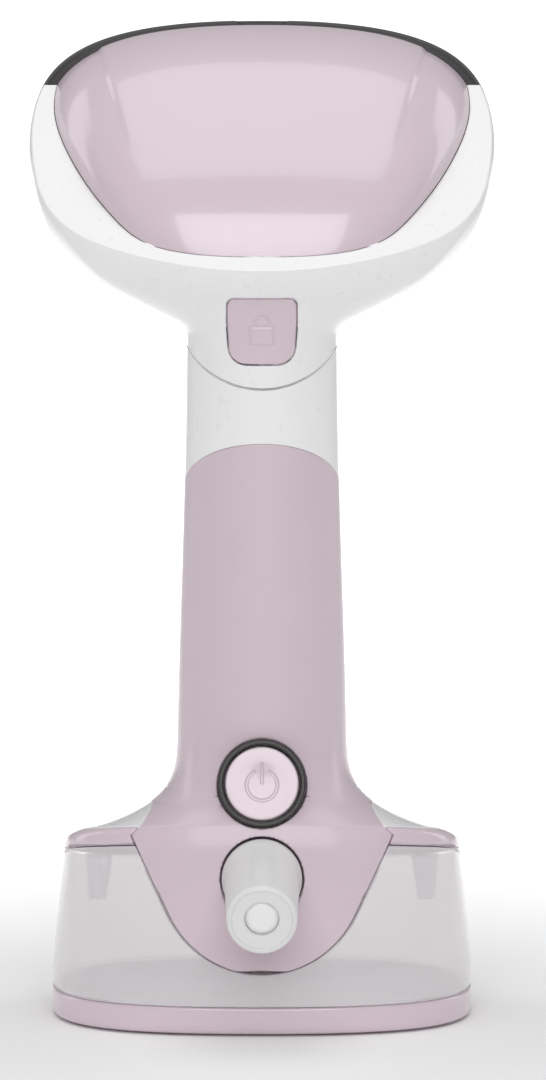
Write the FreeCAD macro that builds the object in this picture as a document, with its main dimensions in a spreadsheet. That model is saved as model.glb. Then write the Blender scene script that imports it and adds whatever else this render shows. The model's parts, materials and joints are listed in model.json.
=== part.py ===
import FreeCAD, Part
import math
import os
import re
import Sketcher
from FreeCAD import Placement, Rotation, Vector

# A hand-held garment steamer that stands on its water tank.
# Frame: origin at the middle of the foot pad's underside, +Z up, +Y the way the steam plate faces,
# -Y the side of the power button and the cord guard, X across.

document = FreeCAD.newDocument("garment_steamer")

# name: (value in mm, degrees or a plain ratio, what it is)
DIMENSIONS = {
    "overall_height": (250.0, "foot pad to the top of the steam plate frame"),
    "wall": (2.0, "wall of the moulded shells"),
    "shell_gap": (0.15, "half of the parting line between two fixed shells"),
    "free_gap": (0.4, "clearance between shells that move apart"),
    "running_gap": (0.05, "radial clearance of a pin in its hole"),
    "slide_gap": (0.3, "clearance of a sliding button in its opening"),
    "foot_half_width": (53.3, "half width of the foot"),
    "foot_half_depth": (34.0, "half depth of the foot"),
    "foot_height": (7.5, "top edge of the foot band"),
    "foot_floor": (0.6, "underside of the foot above the ground"),
    "foot_plate": (2.4, "floor thickness of the foot"),
    "foot_fullness": (0.70, "how square the foot's outline is; 0.55 is an ellipse"),
    "seam_height": (42.0, "parting line of tank and lid at the middle"),
    "seam_tilt": (13.0, "slope of that parting line, down to the front, degrees"),
    "seam_half_width": (50.2, "half width of the tank at the parting line"),
    "seam_back": (30.0, "rear depth of the tank there"),
    "seam_front": (31.5, "front depth of the tank there"),
    "lid_height": (5.0, "height of the tank lid"),
    "shoulder_half_width": (46.5, "half width of the handle's foot"),
    "shoulder_back": (28.8, "rear depth of the handle's foot"),
    "shoulder_front": (29.0, "front depth of the handle's foot"),
    "shoulder_rise": (28.0, "height in which the shoulder narrows to the grip"),
    "grip_half_width": (21.4, "half width of the grip at its lower end"),
    "neck_half_width": (18.9, "half width of the neck"),
    "grip_back": (20.0, "rear depth of the grip"),
    "grip_front": (17.0, "front depth of the grip"),
    "neck_back": (19.3, "rear depth of the neck"),
    "neck_front": (18.0, "front depth of the neck"),
    "grip_fullness": (0.60, "how square the grip's outline is"),
    "face_fullness": (0.72, "how square the upper half of the face's outline is"),
    "head_pivot_y": (28.0, "the head bends forward about this line"),
    "head_reach": (78.0, "from that line up to the top of the head"),
    "face_toe": (18.0, "from that line up to the lower edge of the face"),
    "head_half_width": (58.6, "half width of the head"),
    "bezel_slope": (33.8, "slope of the bezel plane, degrees"),
    "bezel_y": (-30.0, "lowest point of the bezel's crease, depth"),
    "bezel_z": (195.5, "lowest point of the bezel's crease, height"),
    "arc_radius": (26.0, "parting line under the lock button"),
    "arc_height": (190.0, "centre of that arc"),
    "neck_line": (172.3, "parting line of head and handle at the sides"),
    "cover_top": (150.0, "upper edge of the grip cover at the rear"),
    "cover_dip": (13.0, "how far that edge falls towards the parting line"),
    "tongue_radius": (26.6, "lower end of the tongue"),
    "tongue_centre": (42.6, "height of that arc's centre"),
    "tongue_shoulder": (50.3, "height of the tongue's corners"),
    "tongue_half_width": (33.2, "half width at the corners"),
    "tongue_waist": (59.0, "height where the tongue has narrowed to the grip"),
    "tongue_waist_half_width": (24.0, "half width there"),
    "tongue_front": (-9.0, "front face of the tongue"),
    "button_radius": (9.35, "power button"),
    "ring_bore": (9.6, "inside of the black ring round it"),
    "ring_radius": (11.15, "outside of that ring"),
    "ring_depth": (6.0, "how far the ring reaches into the handle"),
    "ring_proud": (0.5, "how far it stands out"),
    "button_y": (-25.5, "middle of the power button, depth"),
    "button_z": (63.8, "middle of the power button, height"),
    "button_tilt": (14.0, "upward tilt of the power button, degrees"),
    "button_travel": (1.2, "stroke of the power button"),
    "button_stem": (2.0, "radius of the stem behind a button"),
    "board_depth": (13.0, "from the button's face to the control board"),
    "board_thickness": (1.6, "control board"),
    "switch_height": (4.4, "push switch on the control board"),
    "guard_y": (-30.0, "centre of the cord guard's ball, depth"),
    "guard_z": (40.0, "centre of the cord guard's ball, height"),
    "guard_droop": (6.0, "downward slope of the cord guard, degrees"),
    "guard_ball": (10.2, "radius of the guard's ball"),
    "guard_shell": (2.3, "wall of that ball"),
    "guard_root": (9.6, "radius of the sleeve at the ball"),
    "guard_tip": (8.9, "radius of the sleeve at its mouth"),
    "guard_length": (36.0, "from the ball's centre to the mouth"),
    "swing_room": (36.0, "the ball's inner opening, as its radius 20 mm from the centre"),
    "cord_bore": (4.35, "radius of the bore for the cord"),
    "dish_gap": (1.1, "between the ball and the dish that it turns in"),
    "knuckle_gap": (0.35, "between the knuckle and the inside of the ball"),
    "knuckle_neck": (5.4, "radius of the knuckle's neck"),
    "pivot_radius": (1.5, "side pivots of the knuckle"),
    "lock_size": (18.0, "lock button, across"),
    "lock_z": (179.0, "middle of the lock button"),
    "lock_thickness": (3.0, "cap of the lock button"),
    "lock_board_y": (-4.5, "rear face of the lock button's board"),
    "lock_travel": (1.5, "stroke of the lock button"),
    "trigger_half": (8.0, "half width of the trigger"),
    "trigger_pin": (1.5, "radius of the trigger's pin"),
    "trigger_pin_y": (10.0, "trigger's pin, depth"),
    "trigger_pin_z": (157.0, "trigger's pin, height"),
    "lever_y": (7.0, "upper end of the switch lever, depth"),
    "trigger_low": (117.0, "lower end of the trigger"),
    "pump_radius": (9.0, "pump coil"),
    "pump_y": (5.0, "axis of the pump, depth"),
    "pump_low": (72.0, "lower end of the pump coil"),
    "pump_height": (24.0, "length of the pump coil"),
    "piston_radius": (3.0, "pump piston"),
    "piston_travel": (2.0, "stroke of the piston each way"),
    "tube_wall": (0.9, "wall of the pump tube"),
    "hose_radius": (2.6, "water hose, outside"),
    "frame_start": (28.15, "rear face of the steam plate's frame"),
    "frame_front": (36.0, "front of the frame, the object's front"),
    "frame_border": (4.6, "width of the frame round the steam plate"),
    "catch_width": (12.0, "catch slot on top of the frame"),
    "catch_depth": (1.6, "depth of that slot"),
    "plate_thickness": (2.4, "steam plate"),
    "steam_hole": (1.1, "radius of a steam hole"),
    "boiler_half_width": (40.0, "boiler block"),
    "boiler_low": (205.0, "underside of the boiler block"),
    "boiler_high": (234.0, "top of the boiler block"),
    "boiler_rear": (14.0, "rear face of the boiler block"),
    "boiler_front": (32.8, "front face of the boiler block"),
    "bolt_inset": (2.6, "from the boiler's edge to a cover screw"),
    "chamber_depth": (9.0, "steam chamber in the boiler block"),
    "element_radius": (3.3, "heating element"),
    "gasket_thickness": (1.0, "boiler gasket"),
    "cover_thickness": (2.0, "boiler cover"),
    "nipple_y": (5.0, "axis of the water nipple"),
    "nipple_radius": (2.5, "water nipple"),
    "nipple_bore": (1.4, "bore of the water nipple"),
    "valve_radius": (6.0, "tank valve"),
    "plug_radius": (6.0, "stem of the filler plug"),
    "plug_flange": (8.5, "flange of the filler plug"),
    "plug_z": (20.0, "height of the filler plug"),
    "lug_start": (38.0, "inner side of a guide lug"),
    "lug_width": (6.6, "width of a guide lug at the lid"),
    "lug_length": (11.0, "length of a guide lug"),
    "pad_thickness": (1.6, "rubber pad"),
    "pad_inset": (6.0, "from the foot's edge to the pad's edge"),
    "screw_radius": (1.5, "shank of the housing screws"),
    "screw_head": (2.8, "head of the housing screws"),
    "base_thickness": (3.2, "plate that closes the handle above the tank"),
    "tank_travel": (60.0, "how far the tank slides off"),
    "hose_bore": (1.6, "water hose, inside"),
    "spigot_radius": (1.55, "spigot in a hose"),
    "spigot_bore": (0.9, "bore of a spigot"),
}

sheet = document.addObject("Spreadsheet::Sheet", "Dimensions")
for row, (alias, (value, meaning)) in enumerate(DIMENSIONS.items(), start=1):
    sheet.set(f"A{row}", meaning)
    sheet.set(f"B{row}", str(value))
    sheet.setAlias(f"B{row}", alias)
document.recompute()


def size(alias):
    """The value of one cell of the sheet."""
    return float(getattr(sheet, alias))


WALL = size("wall")


def section(half_width, back, front, centre, tilt, fullness_back, fullness_front=None):
    """An outline of four Bezier quarters in a plane across the object, tilted forward by tilt degrees."""
    forward = Vector(0, math.cos(math.radians(tilt)), -math.sin(math.radians(tilt)))
    side = Vector(1, 0, 0)
    fullness_front = fullness_front or fullness_back
    turns = (
        (side * half_width, forward * front, fullness_front),
        (forward * front, side * -half_width, fullness_front),
        (side * -half_width, forward * -back, fullness_back),
        (forward * -back, side * half_width, fullness_back),
    )
    edges = []
    for start, end, fullness in turns:
        quarter = Part.BezierCurve()
        quarter.setPoles([centre + start, centre + start + end * fullness,
                          centre + end + start * fullness, centre + end])
        edges.append(quarter.toShape())
    return Part.Wire(edges)


def ease(start, end, share, power):
    """From start to end, quickly at first and then levelling out."""
    return end + (start - end) * (1 - min(max(share, 0), 1)) ** power


def between(table, at):
    """A smooth curve without overshoot through a short table of (place, value) pairs, read at one place."""
    places = [place for place, _ in table]
    values = [value for _, value in table]
    slopes = [(values[i + 1] - values[i]) / (places[i + 1] - places[i]) for i in range(len(table) - 1)]
    rates = [slopes[0]]
    for before, after in zip(slopes, slopes[1:]):
        rates.append(0 if before * after <= 0 else 2 * before * after / (before + after))
    rates.append(slopes[-1])
    i = max(0, min(len(table) - 2, sum(1 for place in places[1:] if place <= at)))
    step = places[i + 1] - places[i]
    s = (at - places[i]) / step
    return (
        values[i] * (1 + 2 * s) * (1 - s) ** 2
        + values[i + 1] * s * s * (3 - 2 * s)
        + step * (rates[i] * s * (1 - s) ** 2 - rates[i + 1] * s * s * (1 - s))
    )


# ---- the outside of the object: tank, lid, handle and head


def tank_envelope(inset, low, drop=0):
    """The outside of foot and tank, from the height low up to the seam, moved inwards by inset."""
    fullness = size("foot_fullness")
    straight = 24.0
    wires = []
    for height in (low, straight):
        share = max(0, height - size("foot_height")) / size("seam_height")
        width = size("foot_half_width") + (size("seam_half_width") - size("foot_half_width")) * share
        back = size("foot_half_depth") + (size("seam_back") - size("foot_half_depth")) * share
        front = size("foot_half_depth") + (size("seam_front") - size("foot_half_depth")) * share
        wires.append(section(width - inset, back - inset, front - inset, Vector(0, 0, height), 0, fullness))
    wires.append(
        section(
            size("seam_half_width") - inset,
            size("seam_back") - inset,
            size("seam_front") - inset,
            Vector(0, 0, size("seam_height") - drop),
            size("seam_tilt"),
            fullness,
        )
    )
    return Part.makeLoft(wires, True, False)


SHOULDER = size("seam_height") + size("lid_height")
GRIP_START = SHOULDER + size("shoulder_rise")
PIVOT_Z = size("overall_height") - size("head_reach")


def handle_station(height, inset):
    """Section of the handle whose middle is at this height. A wall is measured across the slope as well."""
    lifted = height + inset
    share = (lifted - SHOULDER) / size("shoulder_rise")
    tilt = ease(size("seam_tilt"), 0, (height - SHOULDER) / size("shoulder_rise"), 2)
    grip = between(
        ((GRIP_START, size("grip_half_width")), (GRIP_START + 35, size("grip_half_width") - 1.0),
         (PIVOT_Z - 4, size("neck_half_width"))), max(lifted, GRIP_START))
    width = ease(size("shoulder_half_width"), grip, share, 4.2)
    rear = between(
        ((GRIP_START, size("grip_back")), (PIVOT_Z - 22, size("neck_back") - 0.3),
         (PIVOT_Z, size("neck_back"))),
        max(lifted, GRIP_START))
    back = ease(size("shoulder_back"), rear, (lifted - SHOULDER) / 42, 1.6)
    nose = between(
        ((GRIP_START, size("grip_front")), (PIVOT_Z - 22, size("grip_front")), (PIVOT_Z, size("neck_front"))),
        max(lifted, GRIP_START))
    front = ease(size("shoulder_front"), nose, share, 4)
    fullness = between(
        ((SHOULDER, size("foot_fullness")), (GRIP_START, size("grip_fullness")),
         (PIVOT_Z, size("grip_fullness"))),
        height)
    return section(width - inset, back - inset, front - inset, Vector(0, 0, height), tilt, fullness)


# angle from the neck to the face, share of the widening, share of the heel's growth, rear fullness
HEAD = (
    (0, 0.0, 0.0, 0.60),
    (5, 0.003, 0.022, 0.60),
    (10, 0.033, 0.068, 0.58),
    (15, 0.166, 0.165, 0.54),
    (20, 0.355, 0.380, 0.50),
    (24, 0.514, 0.540, 0.48),
    (30, 0.678, 0.665, 0.47),
    (40, 0.849, 0.800, 0.48),
    (50, 0.940, 0.872, 0.52),
    (62, 0.985, 0.935, 0.60),
    (75, 1.010, 0.978, 0.68),
    (90, 1.008, 1.0, size("face_fullness")),
)
# angle, distance of a section's widest line beyond the pivot line's depth
WIDEST = ((0, 0.0), (5, 0.8), (10, 3.0), (15, 7.5), (20, 13.5), (24, 17.5), (30, 21.5), (40, 23.0), (50, 23.0),
          (62, 22.5), (75, 21.0), (90, 20.0))


def head_section(angle, width, heel, toe, fullness):
    """Section of the head in the plane through the pivot line at this angle above the horizontal."""
    radians = math.radians(angle)
    away = Vector(0, -math.cos(radians), math.sin(radians))
    middle = size("head_pivot_y") + between(WIDEST, angle) * (head_middle() - size("head_pivot_y")) / 20
    centre = Vector(0, size("head_pivot_y"), PIVOT_Z) + away * middle
    return section(width, heel - middle, middle - toe, centre, angle, fullness, size("grip_fullness"))


def head_middle():
    """Distance of the face's middle from the pivot line."""
    return (size("head_reach") + size("face_toe")) / 2


def head_stations(inset):
    """Outline wires of the head from the neck to the face."""
    root = size("head_pivot_y") + size("neck_back")
    toe_root = size("head_pivot_y") - size("neck_front")
    wires = []
    for angle, widening, growth, fullness in HEAD[1:]:
        width = size("neck_half_width") + (size("head_half_width") - size("neck_half_width")) * widening
        heel = root + (size("head_reach") - root) * growth
        toe = toe_root + (size("face_toe") - toe_root) * (angle / 90) ** 2
        wires.append(head_section(angle, width - inset, heel - inset, toe + inset, fullness))
    return wires


def handle_and_head(inset=0.0):
    """The outside of handle and head as one smooth body, moved inwards by inset."""
    heights = [SHOULDER + rise for rise in (0, 1.6, 3.5, 6, 9, 13, 18, 25, 34, 46, 64, 84, 104, 115)]
    wires = [handle_station(height, inset) for height in heights]
    wires.append(head_section(0, size("neck_half_width") - inset,
                              size("head_pivot_y") + size("neck_back") - inset,
                              size("head_pivot_y") - size("neck_front") + inset, size("grip_fullness")))
    wires += head_stations(inset)
    return Part.makeLoft(wires, True, False)


# ---- parametric building blocks


def qualified(formula):
    """A formula over the sheet's aliases in the form that an expression needs."""
    return re.sub(
        r"[a-z_][a-z_0-9]*",
        lambda word: "Dimensions." + word.group(0) if word.group(0) in DIMENSIONS else word.group(0),
        str(formula),
    )


def bind(thing, **formulas):
    """Bind properties of a document object to formulas over the sheet."""
    for name, formula in formulas.items():
        thing.setExpression(name, qualified(formula))
    return thing


def place(thing, at, turn=None):
    """Put an object at three formulas, turned by a Rotation."""
    if turn:
        thing.Placement = Placement(Vector(), turn)
    for letter, formula in zip("xyz", at):
        thing.setExpression(f"Placement.Base.{letter}", qualified(formula))
    return thing


def towards(x, y, z):
    """Turns a primitive's own axis, +Z, to this direction."""
    return Rotation(Vector(0, 0, 1), Vector(x, y, z))


def block(name, low, high):
    """A box between two corners given as formulas."""
    thing = document.addObject("Part::Box", name)
    sides = [f"({top}) - ({bottom})" for bottom, top in zip(low, high)]
    bind(thing, Length=sides[0], Width=sides[1], Height=sides[2])
    return place(thing, low)


def rod(name, radius, length, at, turn=None):
    """A round bar that starts at a point."""
    thing = document.addObject("Part::Cylinder", name)
    bind(thing, Radius=radius, Height=length)
    return place(thing, at, turn)


def cone(name, first, last, length, at, turn=None):
    """A tapered round bar that starts at a point."""
    thing = document.addObject("Part::Cone", name)
    bind(thing, Radius1=first, Radius2=last, Height=length)
    return place(thing, at, turn)


def ball(name, radius, at):
    """A sphere."""
    thing = document.addObject("Part::Sphere", name)
    bind(thing, Radius=radius)
    return place(thing, at)


def joined(name, *things):
    """Fuses primitives into one piece."""
    thing = document.addObject("Part::MultiFuse", name)
    thing.Shapes = list(things)
    return thing


def grouped(name, *things):
    """Identical loose solids under one name."""
    thing = document.addObject("Part::Compound", name)
    thing.Links = list(things)
    return thing


def without(name, base, *tools):
    """Cuts tools out of a piece."""
    tool = tools[0] if len(tools) == 1 else joined(name + "_tools", *tools)
    thing = document.addObject("Part::Cut", name)
    thing.Base = base
    thing.Tool = tool
    return thing


def freeform(name, shape):
    """A sub-part whose outline follows the object's curved outside."""
    thing = document.addObject("Part::Feature", name)
    thing.Shape = shape
    return thing


def origin_plane(body, role):
    """One of a body's own origin planes."""
    return next(item for item in body.Origin.OriginFeatures if item.Role == role)


def outline_sketch(body, name, corners, plane="XY_Plane"):
    """A closed sketch through corners given as pairs of formulas, each bound to the sheet."""
    sketch = body.newObject("Sketcher::SketchObject", name)
    sketch.AttachmentSupport = (origin_plane(body, plane), [""])
    sketch.MapMode = "FlatFace"
    values = [[value_of(formula) for formula in corner] for corner in corners]
    count = len(corners)
    for index in range(count):
        start = Vector(*values[index], 0)
        end = Vector(*values[(index + 1) % count], 0)
        sketch.addGeometry(Part.LineSegment(start, end), False)
    for index in range(count):
        sketch.addConstraint(Sketcher.Constraint("Coincident", index, 2, (index + 1) % count, 1))
    for index, corner in enumerate(corners):
        for kind, axis, formula, value in zip(("DistanceX", "DistanceY"), (-2, -1), corner, values[index]):
            if abs(value) < 1e-9:
                sketch.addConstraint(Sketcher.Constraint("PointOnObject", index, 1, axis))
                continue
            number = sketch.addConstraint(Sketcher.Constraint(kind, -1, 1, index, 1, value))
            label = f"{kind}{index}"
            sketch.renameConstraint(number, label)
            sketch.setExpression(f"Constraints.{label}", qualified(formula))
    return sketch


def value_of(formula):
    """The number that a formula over the sheet's aliases gives now."""
    return float(sheet.evalExpression(qualified(formula)))


def turned(name, profile, at=("0", "0", "0"), axis=(0, 1, 0)):
    """A round piece from its half profile of (radius, distance along the axis) formulas."""
    body = document.addObject("PartDesign::Body", name)
    sketch = outline_sketch(body, name + "_profile", profile)
    feature = body.newObject("PartDesign::Revolution", name + "_turn")
    feature.Profile = sketch
    feature.ReferenceAxis = (sketch, ["V_Axis"])
    feature.Angle = 360
    body.Tip = feature
    return place(body, at, Rotation(Vector(0, 1, 0), Vector(*axis)))


def plate(name, corners, thickness, at=("0", "0", "0"), turn=None, plane="XY_Plane", midplane=False):
    """A flat piece from its outline of formulas and its thickness."""
    body = document.addObject("PartDesign::Body", name)
    sketch = outline_sketch(body, name + "_outline", corners, plane)
    feature = body.newObject("PartDesign::Pad", name + "_pad")
    feature.Profile = sketch
    feature.setExpression("Length", qualified(thickness))
    feature.Midplane = midplane
    body.Tip = feature
    return place(body, at, turn)


def hose(points, radius, bend):
    """A round line along straight runs with a bend of one radius at each inner point."""
    edges = []
    start = points[0]
    for corner, after in zip(points[1:-1], points[2:]):
        before = (start - corner).normalize()
        onward = (after - corner).normalize()
        half = before.getAngle(onward) / 2
        setback = bend / math.tan(half)
        first = corner + before * setback
        last = corner + onward * setback
        middle = (before + onward).normalize() * (bend / math.sin(half) - bend) + corner
        edges.append(Part.LineSegment(start, first).toShape())
        edges.append(Part.Arc(first, middle, last).toShape())
        start = last
    edges.append(Part.LineSegment(start, points[-1]).toShape())
    path = Part.Wire(edges)
    ring = Part.Wire([Part.makeCircle(radius, points[0], points[1] - points[0])])
    return path.makePipeShell([ring], True, False)


def coil(name, radius, wire, turns, start, end):
    """A compression spring between two points."""
    span = end - start
    line = Part.makeHelix((span.Length - 2 * wire) / turns, span.Length - 2 * wire, radius)
    ring = Part.Wire([Part.makeCircle(wire, Vector(radius, 0, 0), Vector(0, 1, 0))])
    shape = Part.Wire(line).makePipeShell([ring], True, True)
    shape.Placement = Placement(start + span.normalize() * wire, Rotation(Vector(0, 0, 1), span))
    return freeform(name, shape)


# ---- regions that divide the outside into its shells

FAR = 200.0
GAP = size("shell_gap")


def big_box(low, high):
    """A box between two corners."""
    span = Vector(*high) - Vector(*low)
    return Part.makeBox(span.x, span.y, span.z, Vector(*low))


def beneath(height, slope, depth=FAR):
    """Everything under a plane that rises towards +Y by slope degrees and is at this height where y is 0."""
    block_below = Part.makeBox(2 * FAR, 2 * FAR, depth, Vector(-FAR, -FAR, -depth))
    block_below.rotate(Vector(), Vector(1, 0, 0), slope)
    block_below.translate(Vector(0, 0, height))
    return block_below


def under_seam(offset):
    """Everything under the plane that lies this far above the seam of the tank."""
    return beneath(size("seam_height") + offset, -size("seam_tilt"))


def under_bezel(offset=0.0):
    """Everything under the bezel plane, lowered by offset."""
    slope = math.radians(size("bezel_slope"))
    level = size("bezel_z") - size("bezel_y") * math.tan(slope) - offset / math.cos(slope)
    return beneath(level, size("bezel_slope"))


def tongue_column(grow=0.0, front=None):
    """The upright column behind the tongue: a round lower end, straight sides, and a step in to the grip."""
    front = size("tongue_front") if front is None else front
    radius = size("tongue_radius")
    centre = Vector(0, 0, size("tongue_centre"))
    corner = Vector(size("tongue_half_width"), 0, size("tongue_shoulder"))
    reach = (corner - centre).Length
    angle = math.atan2(corner.z - centre.z, corner.x) - math.acos(radius / reach)
    touch = centre + Vector(math.cos(angle), 0, math.sin(angle)) * radius
    waist = Vector(size("tongue_waist_half_width"), 0, size("tongue_waist"))
    top = Vector(waist.x, 0, GRIP_START)

    def mirrored(point):
        return Vector(-point.x, point.y, point.z)

    right = [touch, corner, waist, top]
    left = [mirrored(point) for point in reversed(right)]
    edges = [Part.Arc(mirrored(touch), centre - Vector(0, 0, radius), touch).toShape()]
    loop = right + left
    edges += [Part.LineSegment(a, b).toShape() for a, b in zip(loop, loop[1:])]
    face = Part.Face(Part.Wire(edges))
    if grow:
        face = face.makeOffset2D(grow)
    face.translate(Vector(0, -FAR / 2, 0))
    return face.extrude(Vector(0, FAR / 2 + front + grow, 0))


def grip_region(grow=0.0):
    """The part of the handle that the rear cover takes up."""
    waist = size("tongue_waist") + 2.0
    rear = big_box((-FAR, -FAR, waist - grow), (FAR, grow, size("cover_top") + 10))
    slope = -math.degrees(math.atan(size("cover_dip") / size("neck_back")))
    level = size("cover_top") - size("cover_dip")
    rear = rear.common(beneath(level + grow, slope))
    step = big_box((-FAR, -FAR, 0), (FAR, grow, GRIP_START)).common(tongue_column(grow, 0.0))
    step = step.cut(under_seam(size("lid_height") + size("base_thickness") + 0.3 - grow))
    return rear.fuse(step).fuse(tongue_column(grow))


def arc_cylinder(grow):
    """The round end of the head shell under the lock button."""
    return Part.makeCylinder(size("arc_radius") + grow, 2 * FAR, Vector(0, -FAR, size("arc_height")),
                             Vector(0, 1, 0))


def handle_region(grow=0.0):
    """Everything under the parting line of handle and head."""
    low = big_box((-FAR, -FAR, 0), (FAR, FAR, size("neck_line") + grow))
    return low.cut(arc_cylinder(-grow))


# angle, half width, distance of the crown from the pivot line, rear fullness
PILLOW = (
    (26, 30.0, 59.2, 0.78),
    (36, 35.5, 62.2, 0.76),
    (50, 42.8, 65.6, 0.72),
    (66, 49.2, 70.2, 0.70),
    (80, 53.6, 75.6, 0.71),
    (90, 55.6, 77.2, size("face_fullness")),
)


def pillow(inset=0.0):
    """The crowned cover of the head, carried a little past the face so that cuts come out clean."""
    wires = []
    toe_root = size("head_pivot_y") - size("neck_front")
    for angle, width, crown, fullness in PILLOW:
        toe = toe_root + (size("face_toe") - toe_root) * (angle / 90) ** 2
        wires.append(head_section(angle, width - inset, crown - inset, toe + inset + 2, fullness))
    return Part.makeLoft(wires, True, False)


def face_prism(inset, start, end):
    """A flat piece with the outline of the face."""
    middle = PIVOT_Z + head_middle()
    half_height = size("head_reach") - head_middle()
    ring = section(size("head_half_width") - inset, half_height - inset, half_height - inset,
                   Vector(0, start, middle), 90, size("face_fullness"), size("grip_fullness"))
    return Part.Face(ring).extrude(Vector(0, end - start, 0))


# ---- outer shells

outside = handle_and_head()
inside = handle_and_head(WALL)
COLLAR = ((0, 0.0), (0.5, 0.08), (0.8, 0.42), (1.0, 1.0))


def collar(inset=0.0, drop=0.0):
    """The rounded edge between the tank's seam and the shoulder, which is the outside of the lid."""
    wires = []
    for rise, share in COLLAR:
        width = size("seam_half_width") + (size("shoulder_half_width") - size("seam_half_width")) * share
        back = size("seam_back") + (size("shoulder_back") - size("seam_back")) * share
        front = size("seam_front") + (size("shoulder_front") - size("seam_front")) * share
        height = size("seam_height") + size("lid_height") * rise - drop
        wires.append(section(width - inset, back - inset, front - inset, Vector(0, 0, height),
                             size("seam_tilt"), size("foot_fullness")))
    return Part.makeLoft(wires, True, False)


base_outside = tank_envelope(0, size("foot_floor"))
base_inside = tank_envelope(WALL, size("foot_floor") + 2 * WALL)


# ---- head: shell, cover, frame, steam plate and boiler

FACE_MIDDLE = PIVOT_Z + head_middle()
LOCK_HALF = size("lock_size") / 2


def rounded_bar(half_width, low, high, start, end, radius):
    """A bar along Y with rounded long edges, between two heights and two depths."""
    bar = big_box((-half_width, start, low), (half_width, end, high))
    long_edges = [edge for edge in bar.Edges if abs(edge.tangentAt(0).y) > 0.99]
    return bar.makeFillet(radius, long_edges)


def lock_prism(grow):
    """The lock button's outline carried through the rear of the neck."""
    middle = size("lock_z")
    return rounded_bar(LOCK_HALF + grow, middle - LOCK_HALF - grow, middle + LOCK_HALF + grow, -40, 0,
                       3.0 + grow)


front_limit = big_box((-FAR, -FAR, 0), (FAR, size("head_pivot_y"), 2 * FAR))
bowl = outside.cut(handle_region(GAP)).common(under_bezel()).common(front_limit)
bowl = bowl.cut(inside.common(under_bezel(WALL))).cut(pillow(-GAP).cut(under_bezel(WALL)))
bowl = bowl.cut(lock_prism(size("slide_gap")))
freeform("head_shell", bowl)
crown = pillow().cut(pillow(WALL)).cut(under_bezel(WALL - GAP))
freeform("head_cover", crown.common(front_limit))

frame = face_prism(0, size("frame_start"), size("frame_front"))
frame = frame.cut(face_prism(size("frame_border") + 1.6, 0, FAR))
ledge_start = size("frame_front") - size("plate_thickness") - 0.4
frame = frame.cut(face_prism(size("frame_border"), ledge_start, FAR))
top = size("overall_height")
frame = frame.cut(big_box((-size("catch_width") / 2, size("frame_start") + 2, top - size("catch_depth")),
                          (size("catch_width") / 2, size("frame_front") - 2, top + 5)))
freeform("steam_plate_frame", frame)

steam_plate = face_prism(size("frame_border") + size("slide_gap") / 2, ledge_start,
                         ledge_start + size("plate_thickness"))
HOLE_RINGS = ((16, 0.82), (10, 0.52), (4, 0.22))
plate_width = size("head_half_width") - size("frame_border")
plate_height = size("head_reach") - head_middle() - size("frame_border")
holes = []
for count, share in HOLE_RINGS:
    for number in range(count):
        turn = 2 * math.pi * (number + 0.5) / count
        spot = Vector(plate_width * share * math.cos(turn), ledge_start - 1,
                      FACE_MIDDLE + plate_height * share * math.sin(turn))
        holes.append(Part.makeCylinder(size("steam_hole"), 10, spot, Vector(0, 1, 0)))
freeform("steam_plate", steam_plate.cut(Part.makeCompound(holes)))

# the boiler: a cast block with the heating element in it, a steam chamber behind, gasket and cover
block("boiler_casting", ("-boiler_half_width", "boiler_rear", "boiler_low"),
      ("boiler_half_width", "boiler_front", "boiler_high"))
block("steam_chamber", ("-boiler_half_width + 5", "boiler_rear - 1", "boiler_low + 5"),
      ("boiler_half_width - 5", "boiler_rear + chamber_depth", "boiler_high - 5"))
steam_ways = []
for side in (-1, 1):
    for number in range(3):
        way = rod(f"steam_way_{side + 1}{number}", "1.5", "boiler_front - boiler_rear",
                  (f"{side} * (8 + {number} * 10)", "boiler_rear + 1", "(boiler_low + boiler_high) / 2"),
                  towards(0, 1, 0))
        steam_ways.append(way)
ELEMENT_Y = size("boiler_front") - 5.5
element_low = size("boiler_low") + 6.5
element_high = size("boiler_high") - 6.5
element_side = size("boiler_half_width") - 7
element_path = [Vector(-12, size("boiler_rear") - 7, element_low), Vector(-12, ELEMENT_Y, element_low),
                Vector(-element_side, ELEMENT_Y, element_low), Vector(-element_side, ELEMENT_Y, element_high),
                Vector(element_side, ELEMENT_Y, element_high), Vector(element_side, ELEMENT_Y, element_low),
                Vector(12, ELEMENT_Y, element_low), Vector(12, size("boiler_rear") - 7, element_low)]
element = freeform("heating_element", hose(element_path, size("element_radius"), 5.5))
bolts = [(x, z) for x in (-1, 1) for z in (-1, 1)]


def bolt_at(x, z):
    """Formulas for a cover screw's place across the boiler."""
    across = f"{x} * (boiler_half_width - bolt_inset)"
    up = f"(boiler_low + boiler_high) / 2 + {z} * ((boiler_high - boiler_low) / 2 - bolt_inset)"
    return across, up


def bolt_rods(name, radius, length, start):
    """One rod at each cover screw."""
    rods = []
    for number, (x, z) in enumerate(bolts):
        across, up = bolt_at(x, z)
        rods.append(rod(f"{name}_{number}", radius, length, (across, start, up), towards(0, 1, 0)))
    return rods


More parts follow.
